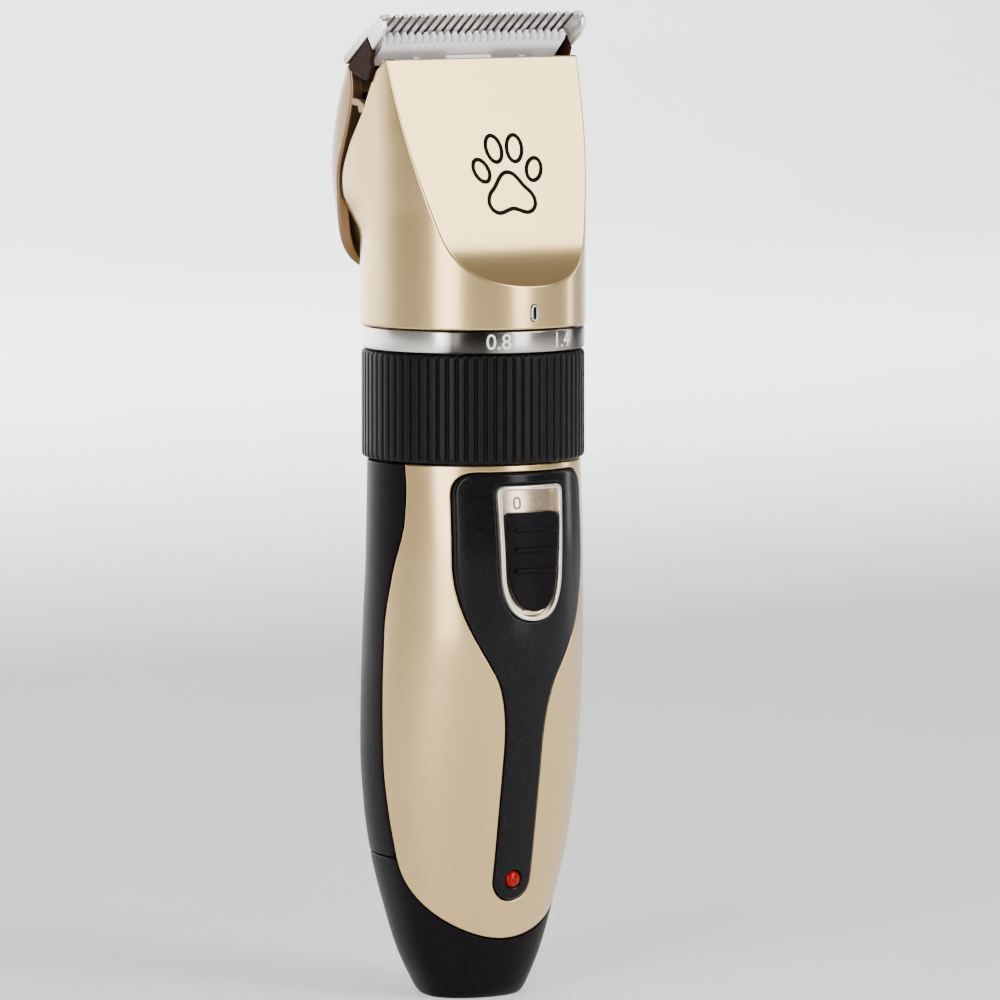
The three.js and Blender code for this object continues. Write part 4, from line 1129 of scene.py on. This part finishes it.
def head_shell():
    """The head's shell: a round skirt, open at the back, cut off in front by the slanted scoop."""
    on_scoop, on_skin = scoop_edge()
    last = len(on_scoop) - 1
    roll, mark_roll = 0.35, 0.1
    wall = (0, -HEAD_WALL)
    rear = shell_rear()
    rear_mirror = mirror_round(rear, FRONT)
    rear_low = spaced([rear_mirror[-1], rear[-1] - (TURN, 0)])
    skirt_mirror = mirror_round(on_skin[1:], FRONT)
    rear_up = rear[::-1][1:] - (TURN, 0)
    skirt_loop = np.vstack([on_skin[::-1], skirt_mirror, rear_mirror[:-1], rear_low, rear_up])
    floor_u = np.arange(150) * TURN / 150
    floor_loop = np.stack([floor_u, 0 * floor_u + HEAD_LOW], 1)
    half_width, half_height = INDEX_MARK["half_width"] + 0.13, INDEX_MARK["half_height"] + 0.15
    mark = slot_outline(0, INDEX_MARK["z"], half_width, half_height)
    mark_loop = np.stack([FRONT + mark[::-1, 0] * ARC / HEAD_SECTIONS[0][2], mark[::-1, 1]], 1)

    mesh = Mesh()
    loops = [floor_loop, skirt_loop, mark_loop]
    rims = [inset(floor_loop, roll, True), inset(skirt_loop, roll, True), inset(mark_loop, mark_roll)]
    fields, triangles = fill(rims, 1.2, True)
    skins = skin_pair(mesh, head, np.vstack(rims + [fields]), triangles, *wall)
    floor_skins, skirt_skins, mark_skins = ([ids[span] for ids in skins] for span in spans(loops))
    rim(mesh, head, floor_loop, floor_skins, wall, (roll, 0), wraps=True)
    rim(mesh, head, mark_loop, mark_skins, wall, (mark_roll, 0))

    top_run = spaced([on_scoop[-1], on_scoop[-1] * (-1, 1)])
    scoop_loop = joined(on_scoop, top_run, on_scoop[::-1] * (-1, 1))
    scoop_rim = inset(scoop_loop, roll)
    scoop_fields, scoop_triangles = fill([scoop_rim], 1.2, False)
    scoop_places = np.vstack([scoop_rim, scoop_fields])
    scoop_skins = skin_pair(mesh, scoop, scoop_places, scoop_triangles, *wall)
    # Fillet along the scoop's edge, and the same seam inside.
    total = len(scoop_loop)
    skirt_at = np.arange(2 * last + 1)
    scoop_of = np.array([last - i if i <= last else (total - (i - last)) % total for i in skirt_at])
    skirt_out, skirt_in = (ids[skirt_at] for ids in skirt_skins)
    scoop_out, scoop_in = (ids[scoop_of] for ids in scoop_skins)
    skirt_facing = normals(head, rims[1][skirt_at], 0)
    scoop_facing = normals(scoop, scoop_rim[scoop_of], 0)
    a, b = head(rims[1][skirt_at]), scoop(scoop_rim[scoop_of])
    corner = head(skirt_loop[skirt_at])
    rows = [(skirt_out, skirt_facing)]
    for t in (0.25, 0.5, 0.75):
        points = (1 - t) ** 2 * a + 2 * t * (1 - t) * corner + t**2 * b
        rows.append((mesh.add(points), unit((1 - t) * skirt_facing + t * scoop_facing)))
    rows.append((scoop_out, scoop_facing))
    for (p, np_), (q, nq) in zip(rows, rows[1:]):
        mesh.strip(q, p, nq, np_, closed=False)
    mesh.strip(skirt_in, scoop_in, -skirt_facing, -scoop_facing, closed=False)

    # Rear and top edges, which end at the scoop's upper corners.
    rear_at = np.r_[2 * last : len(skirt_loop), 0]
    rear_columns = rim(mesh, head, skirt_loop, skirt_skins, wall, (roll, 0), rear_at, wraps=True)
    top_at = np.arange(last, total - last + 1)
    top_columns = rim(mesh, scoop, scoop_loop, scoop_skins, wall, (roll, 0), top_at)
    for end, side in ((0, 1), (-1, -1)):
        fillet_end = [ids[end] for ids, _ in rows]
        scoop_end = [ids[end] for ids in top_columns]
        skirt_end = [ids[-1 - end if end == 0 else 0] for ids in rear_columns]
        ring = fillet_end + scoop_end[1:] + skirt_end[::-1][:-1]
        ring = ring if side < 0 else ring[::-1]
        mesh.cap(ring, (0, 0.3, 0.95))
    mesh.piece("head_shell", champagne, "handle")


def index_mark():
    mesh = Mesh()
    sheet(mesh, head_front, slot_ring(0, INDEX_MARK), 0.2, -1, 0.12)
    mesh.piece("index_mark", chrome, "handle")


def head_front(p, off=0.0):
    """The head's round front, from (x, z)."""
    reach = HEAD_SECTIONS[0][2] + off
    return np.stack([p[:, 0], -np.sqrt(reach**2 - p[:, 0] ** 2), p[:, 1]], 1)


def paw_print():
    """A plain paw print in thin lines on the scoop."""
    centre = (1.0, 22.0)
    # Toes: place, half-width and half-height, and lean in degrees.
    toes = [
        (-5.4, 1.6, 1.9, 2.6, 24),
        (-2.0, 5.6, 2.0, 2.9, 8),
        (2.4, 5.6, 2.0, 2.9, -8),
        (5.8, 1.6, 1.9, 2.6, -24),
    ]
    outlines = []
    for x, w, wide, tall, lean in toes:
        oval = circle(0, 0, 1, 40) * (wide, tall)
        c, s = math.cos(math.radians(lean)), math.sin(math.radians(lean))
        outlines.append(oval @ np.array([[c, s], [-s, c]]) + (x, w))
    right = np.vstack(
        [
            bezier((0, -6.0), (1.2, -6.0), (2.2, -7.2), (3.8, -6.6), steps=10)[:-1],
            bezier((3.8, -6.6), (6.0, -5.6), (5.6, -3.0), (4.0, -1.8), steps=10)[:-1],
            bezier((4.0, -1.8), (2.6, -0.6), (2.0, 1.6), (0, 1.6), steps=10),
        ]
    )
    outlines.append(mirrored(spaced(right, 0.5)))
    line = 0.8
    mesh = Mesh()
    for outline in outlines:
        outline = outline + centre
        sheet(mesh, scoop, [outline, inset(outline, line)], 0.05, -0.3, 0.02, spacing=2, steps=1)
    mesh.piece("paw_print", black_print, "handle", extra=True)


# ---- Blade head ----


def blade_carrier():
    """The curved back plate, with a shelf for the blades, two tabs and a tongue to tilt on."""
    edge = edge_curve(CARRIER_FRONT_EDGE)
    (low_y, low_z), (_, high) = CARRIER_FRONT_EDGE[0], CARRIER_FRONT_EDGE[-1]
    z = np.linspace(low_z, high, 160)
    corner = (carrier.side(low_y, CARRIER_LOW)[0], CARRIER_LOW)
    right = spaced(np.vstack([corner, np.stack([carrier.side(edge(z), z), z], 1)]), 0.8)
    left = mirror_round(right, BACK)
    foot, top = spaced([right[0], left[0]], 0.8), spaced([left[-1], right[-1]], 0.8)
    mesh = Mesh()
    sheet(mesh, carrier, [joined(foot, left, top, right[::-1])], 0, -CARRIER_WALL, 0.4, 0.3, spacing=1.1)
    shelf = [(9.6, 164), (14.6, 164), (12.4, 167.6), (10.2, 167.6)]
    prism(mesh, shelf, -19.2, 19.2)
    tab = [
        (10.8, 163.4), (6.8, 162.9), (5.8, 162.2), (5.9, 160.6), (7.2, 160.4), (7.6, 161.6), (11.6, 162),
    ]
    for side in (-1, 1):
        prism(mesh, tab, *sorted((side * 18.7, side * 19.8)), radius=0.15)
    tongue = [(21.2, 130.6), (21.2, 133.4), (16.3, 133.4), (16.3, 128.7), (17, 128.7), (17, 130.6)]
    prism(mesh, tongue, -6, 6)
    mesh.piece("blade_carrier", bronze, "blade_head")


def blade_frame():
    """The dark block behind the blades: two cheeks and a crossbar."""
    cheek = side_plane(
        [
            (6.6, -0.3), (15.2, -0.3), (15.2, -1.4), (12.8, -4.6),
            (11.3, -6.4), (8.4, -5.1), (8.2, -4.1), (6.6, -2.9),
        ]
    )
    bar = side_plane([(13.3, -0.3), (15.2, -0.3), (15.2, -1.3), (13.8, -3.4), (13.3, -3.4)])
    mesh = Mesh()
    prism(mesh, cheek, -CHEEK["outer"], -CHEEK["inner"], radius=0.18)
    prism(mesh, cheek, CHEEK["inner"], CHEEK["outer"], radius=0.18)
    prism(mesh, bar, -CHEEK["outer"] + 0.05, CHEEK["outer"] - 0.05, radius=0.18)
    mesh.piece("blade_frame", frame_brown, "blade_head")


def tooth_row(half, tip, root, heel, teeth, pitch, width, levels):
    """A row of round-tipped teeth with round roots, as (x, distance behind the comb's tips)."""
    first = -(teeth - 1) * pitch / 2
    points = [(half, heel), (-half, heel)]
    for i in range(teeth):
        middle = first + i * pitch
        left = -half if i == 0 else middle - width / 2
        right = half if i == teeth - 1 else middle + width / 2
        corner = min(TIP_ROUND, (right - left) / 2)
        turn = np.linspace(math.pi, 0, 9)
        centre = np.where(np.cos(turn) < 0, left + corner, right - corner)
        tips = np.stack([centre + corner * np.cos(turn), tip + corner - corner * np.sin(turn)], 1)
        sides = [s for s in levels if tip + corner + 0.3 < s < root - 0.6]
        if i == 0:
            points.append((left, heel - 1))
        points += [(left, s) for s in reversed(sides)]
        points += [tuple(p) for p in tips]
        points += [(right, s) for s in sides]
        if i == teeth - 1:
            points.append((right, heel - 1))
            continue
        gap_left, gap_right = right, first + (i + 1) * pitch - width / 2
        radius = (gap_right - gap_left) / 2
        turn = np.linspace(math.pi, 0, 7)
        root_line = np.stack(
            [(gap_left + gap_right) / 2 + radius * np.cos(turn), root - radius + radius * np.sin(turn)], 1
        )
        points += [tuple(p) for p in root_line]
    outline = np.array(points)
    step = np.linalg.norm(outline - np.roll(outline, 1, 0), axis=1)
    return outline[step > 1e-4]


def fixed_blade():
    """The steel comb, thinner towards its tips, with an ear folded down at each end."""
    reach = (COMB["half"], COMB["tip"], COMB["depth"], COMB["length"])
    width = COMB["pitch"] - COMB["slot"]
    outline = tooth_row(*reach, COMB["teeth"], COMB["pitch"], width, (0.4, 1.8, 3.4, 5, 6.5))

    def tapered(p, off=0.0):
        share = np.clip((0.56 + 0.14 * p[:, 1]) / COMB["thickness"], 0.36, 1)
        return blade_plane(p, off * share)

    mesh = Mesh()
    sheet(mesh, tapered, [outline], COMB["thickness"], 0, 0.14, 0.08, spacing=1.0, steps=3)
    ear = side_plane([(6.3, 0.25), (0.3, 0.25), (0.05, -0.9), (0.8, -2), (2.4, -2.7), (6.3, -2.8)])
    for low in (-COMB["half"], COMB["half"] - EAR):
        prism(mesh, ear, low + 0.03, low + EAR - 0.03, radius=0.2)
    mesh.piece("fixed_blade", comb_metal, "blade_head")


def ceramic_blade():
    """The white moving blade, whose underside thins towards its tips."""
    size = CERAMIC
    pitch = (2 * size["half"] - size["tooth"]) / (size["teeth"] - 1)
    reach = (size["half"], size["tip"], size["root"], size["heel"])
    outline = tooth_row(*reach, size["teeth"], pitch, size["tooth"], (5.6, 6.4))

    def bevelled(p, off=0.0):
        places = (size["tip"] - 1, size["root"] + 0.6)
        deepest = np.interp(p[:, 1], places, (-0.9, -GAP - size["thickness"]))
        share = (off + GAP) / -size["thickness"]
        return blade_plane(p, -GAP + share * (deepest + GAP))

    mesh = Mesh()
    sheet(mesh, bevelled, [outline], -GAP, -GAP - size["thickness"], 0.12, 0.16, spacing=1.0, steps=3)
    mesh.piece("ceramic_blade", ceramic, "moving_blade")


def blade_screw(name, x):
    """A pan head on its shank."""
    top, head_radius, shank = COMB["thickness"], BLADE_SCREW["head"], BLADE_SCREW["shank"]
    low, high = top + GAP, top + 1.45
    build = Mesh()
    lathe(build, rounded([(0.01, low), (head_radius, low), (head_radius, high), (0.01, high)], 0.3), 48)
    lathe(build, [(0.01, -2.2), (shank, -2.2), (shank, top + 0.5), (0.01, top + 0.5)], 32)
    build.points = [blade_plane(p[:, :2] + (x, BLADE_SCREW["back"]), p[:, 2]) for p in build.points]
    across, back, up = np.array(build.normals).T
    build.normals = list(np.stack([across, *leaned(back, up)], 1))
    build.piece(name, steel, "blade_head")


# ---- CAD pieces that stay ----

# Their finishes: colour, metallic or not, and nodes.
KEPT = {
    "inner_plastic": (
        (0.20, 0.20, 0.21), 0, "ring_cam depth_sledge slide_switch motor_end_cap switch_slider"
    ),
    "neck_plastic": ((0.012, 0.011, 0.012), 0, "neck_tube charge_jack"),
    "fork_nylon": ((0.86, 0.83, 0.85), 0, "drive_fork"),
    "board_green": ((0.012, 0.10, 0.04), 0, "circuit_board"),
    "cell_blue": ((0.03, 0.08, 0.20), 0, "battery_cell"),
    "magnet_grey": ((0.04, 0.04, 0.045), 0, "magnet_left magnet_right"),
    "plain_steel": (
        (0.55, 0.54, 0.53),
        1,
        "detent_spring motor_can motor_bracket motor_screw_left motor_screw_right motor_shaft "
        "tension_spring battery_tab_upper battery_tab_lower case_screw_upper_left "
        "case_screw_upper_right case_screw_lower_left case_screw_lower_right",
    ),
    "copper_wire": ((0.60, 0.26, 0.12), 1, "armature"),
    "brass_parts": ((0.62, 0.45, 0.20), 1, "charge_pin eccentric_cam"),
}


def finish_kept():
    """Gives the CAD pieces that stay their finishes."""
    for name, (colour, metal, nodes) in KEPT.items():
        lighter = tuple(min(1, c * 1.25) for c in colour)
        look = finish_of(name, colour, lighter, (0.3, 0.45), metal=metal, grain=2, relief=0.002)
        for title in nodes.split():
            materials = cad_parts[title].data.materials
            materials.clear()
            materials.append(look)


# ---- Stage ----


def stage():
    """A pale floor that curves up behind the object."""
    front, depth, half_width, height, bend = -2.5, 2.4, 2.8, 1.5, 0.5  # metres
    profile = [(front, 0), (depth - bend, 0)]
    for turn in np.arange(1, 13) / 12 * math.pi / 2:
        profile.append((depth - bend + bend * math.sin(turn), bend - bend * math.cos(turn)))
    profile.append((depth, height))
    points = [(x, y, z) for x in (-half_width, half_width) for y, z in profile]
    count = len(profile)
    faces = [(i, count + i, count + i + 1, i + 1) for i in range(count - 1)]
    mesh = bpy.data.meshes.new("floor")
    mesh.from_pydata(points, [], faces)
    mesh.shade_smooth()
    floor = linked("floor", mesh)
    look, tree, body = shader("pale_floor")
    stops = [(NOISE_LOW, (0.86, 0.86, 0.86)), (NOISE_HIGH, (0.9, 0.9, 0.9))]
    pale = tinted(tree, noise(tree, 0.02), stops)
    glow = {"Emission Color": (1, 1, 1, 1), "Emission Strength": 0.35}
    feed(tree, body, {"Base Color": pale, "Roughness": 0.7, **glow})
    mesh.materials.append(look)


def soft_light(name, spot, aim, size, power):
    """A rectangular light at a spot, aimed at another, in metres and watts."""
    data = bpy.data.lights.new(name, "AREA")
    data.shape = "RECTANGLE"
    data.size, data.size_y = size
    data.energy = power
    lamp = linked(name, data)
    lamp.location = spot
    lamp.rotation_euler = (Vector(aim) - Vector(spot)).to_track_quat("-Z", "Y").to_euler()


def around(azimuth, distance, height):
    """A spot round the object; azimuth 0 is straight in front, and it grows to the viewer's right."""
    turn = math.radians(azimuth)
    return (distance * math.sin(turn), -distance * math.cos(turn), height)


def lights():
    """Soft boxes round the object, a wash on the wall behind it, and a dim warm studio."""
    middle = (0, 0, 0.09)
    soft_light("left_strip", around(-58, 1.0, 0.34), middle, (0.42, 0.84), 10)
    soft_light("front_strip", around(18, 1.0, 0.34), middle, (0.3, 0.84), 5.6)
    soft_light("scoop_box", around(30, 0.9, 0.62), middle, (0.6, 0.4), 5)
    soft_light("right_strip", around(84, 0.8, 0.36), middle, (0.1, 0.7), 1.4)
    soft_light("back_wash", (0, 1.0, 1.0), (0, 2.4, 0.3), (3.0, 0.3), 130)
    world = bpy.data.worlds.new("studio")
    bpy.context.scene.world = world
    world.use_nodes = True
    inputs = world.node_tree.nodes["Background"].inputs
    inputs["Color"].default_value = (1, 0.96, 0.9, 1)
    inputs["Strength"].default_value = 0.24


def camera():
    """A long lens, a little above the object and to its left."""
    azimuth, elevation, distance = math.radians(-33), math.radians(5.2), 1.5
    level = math.cos(elevation)
    back = Vector((math.sin(azimuth) * level, -math.cos(azimuth) * level, math.sin(elevation)))
    right = Vector((math.cos(azimuth), math.sin(azimuth), 0))
    aim = Vector((0, 0, 0.0901)) + 0.0049 * right
    data = bpy.data.cameras.new("camera")
    data.sensor_width = 36
    data.lens = 298
    data.clip_start, data.clip_end = 0.05, 20
    thing = linked("camera", data)
    thing.location = aim + back * distance
    thing.rotation_mode = "QUATERNION"
    thing.rotation_quaternion = (-back).to_track_quat("-Z", "Y")
    bpy.context.scene.camera = thing


front_shell()
back_shell()
bottom_cap()
trim_and_switch()
switch_button()
grip_ring()
number_band()
numbers()
head_shell()
index_mark()
paw_print()
blade_carrier()
blade_frame()
fixed_blade()
ceramic_blade()
blade_screw("blade_screw_left", -9)
blade_screw("blade_screw_right", 9)
finish_kept()
stage()
lights()
camera()
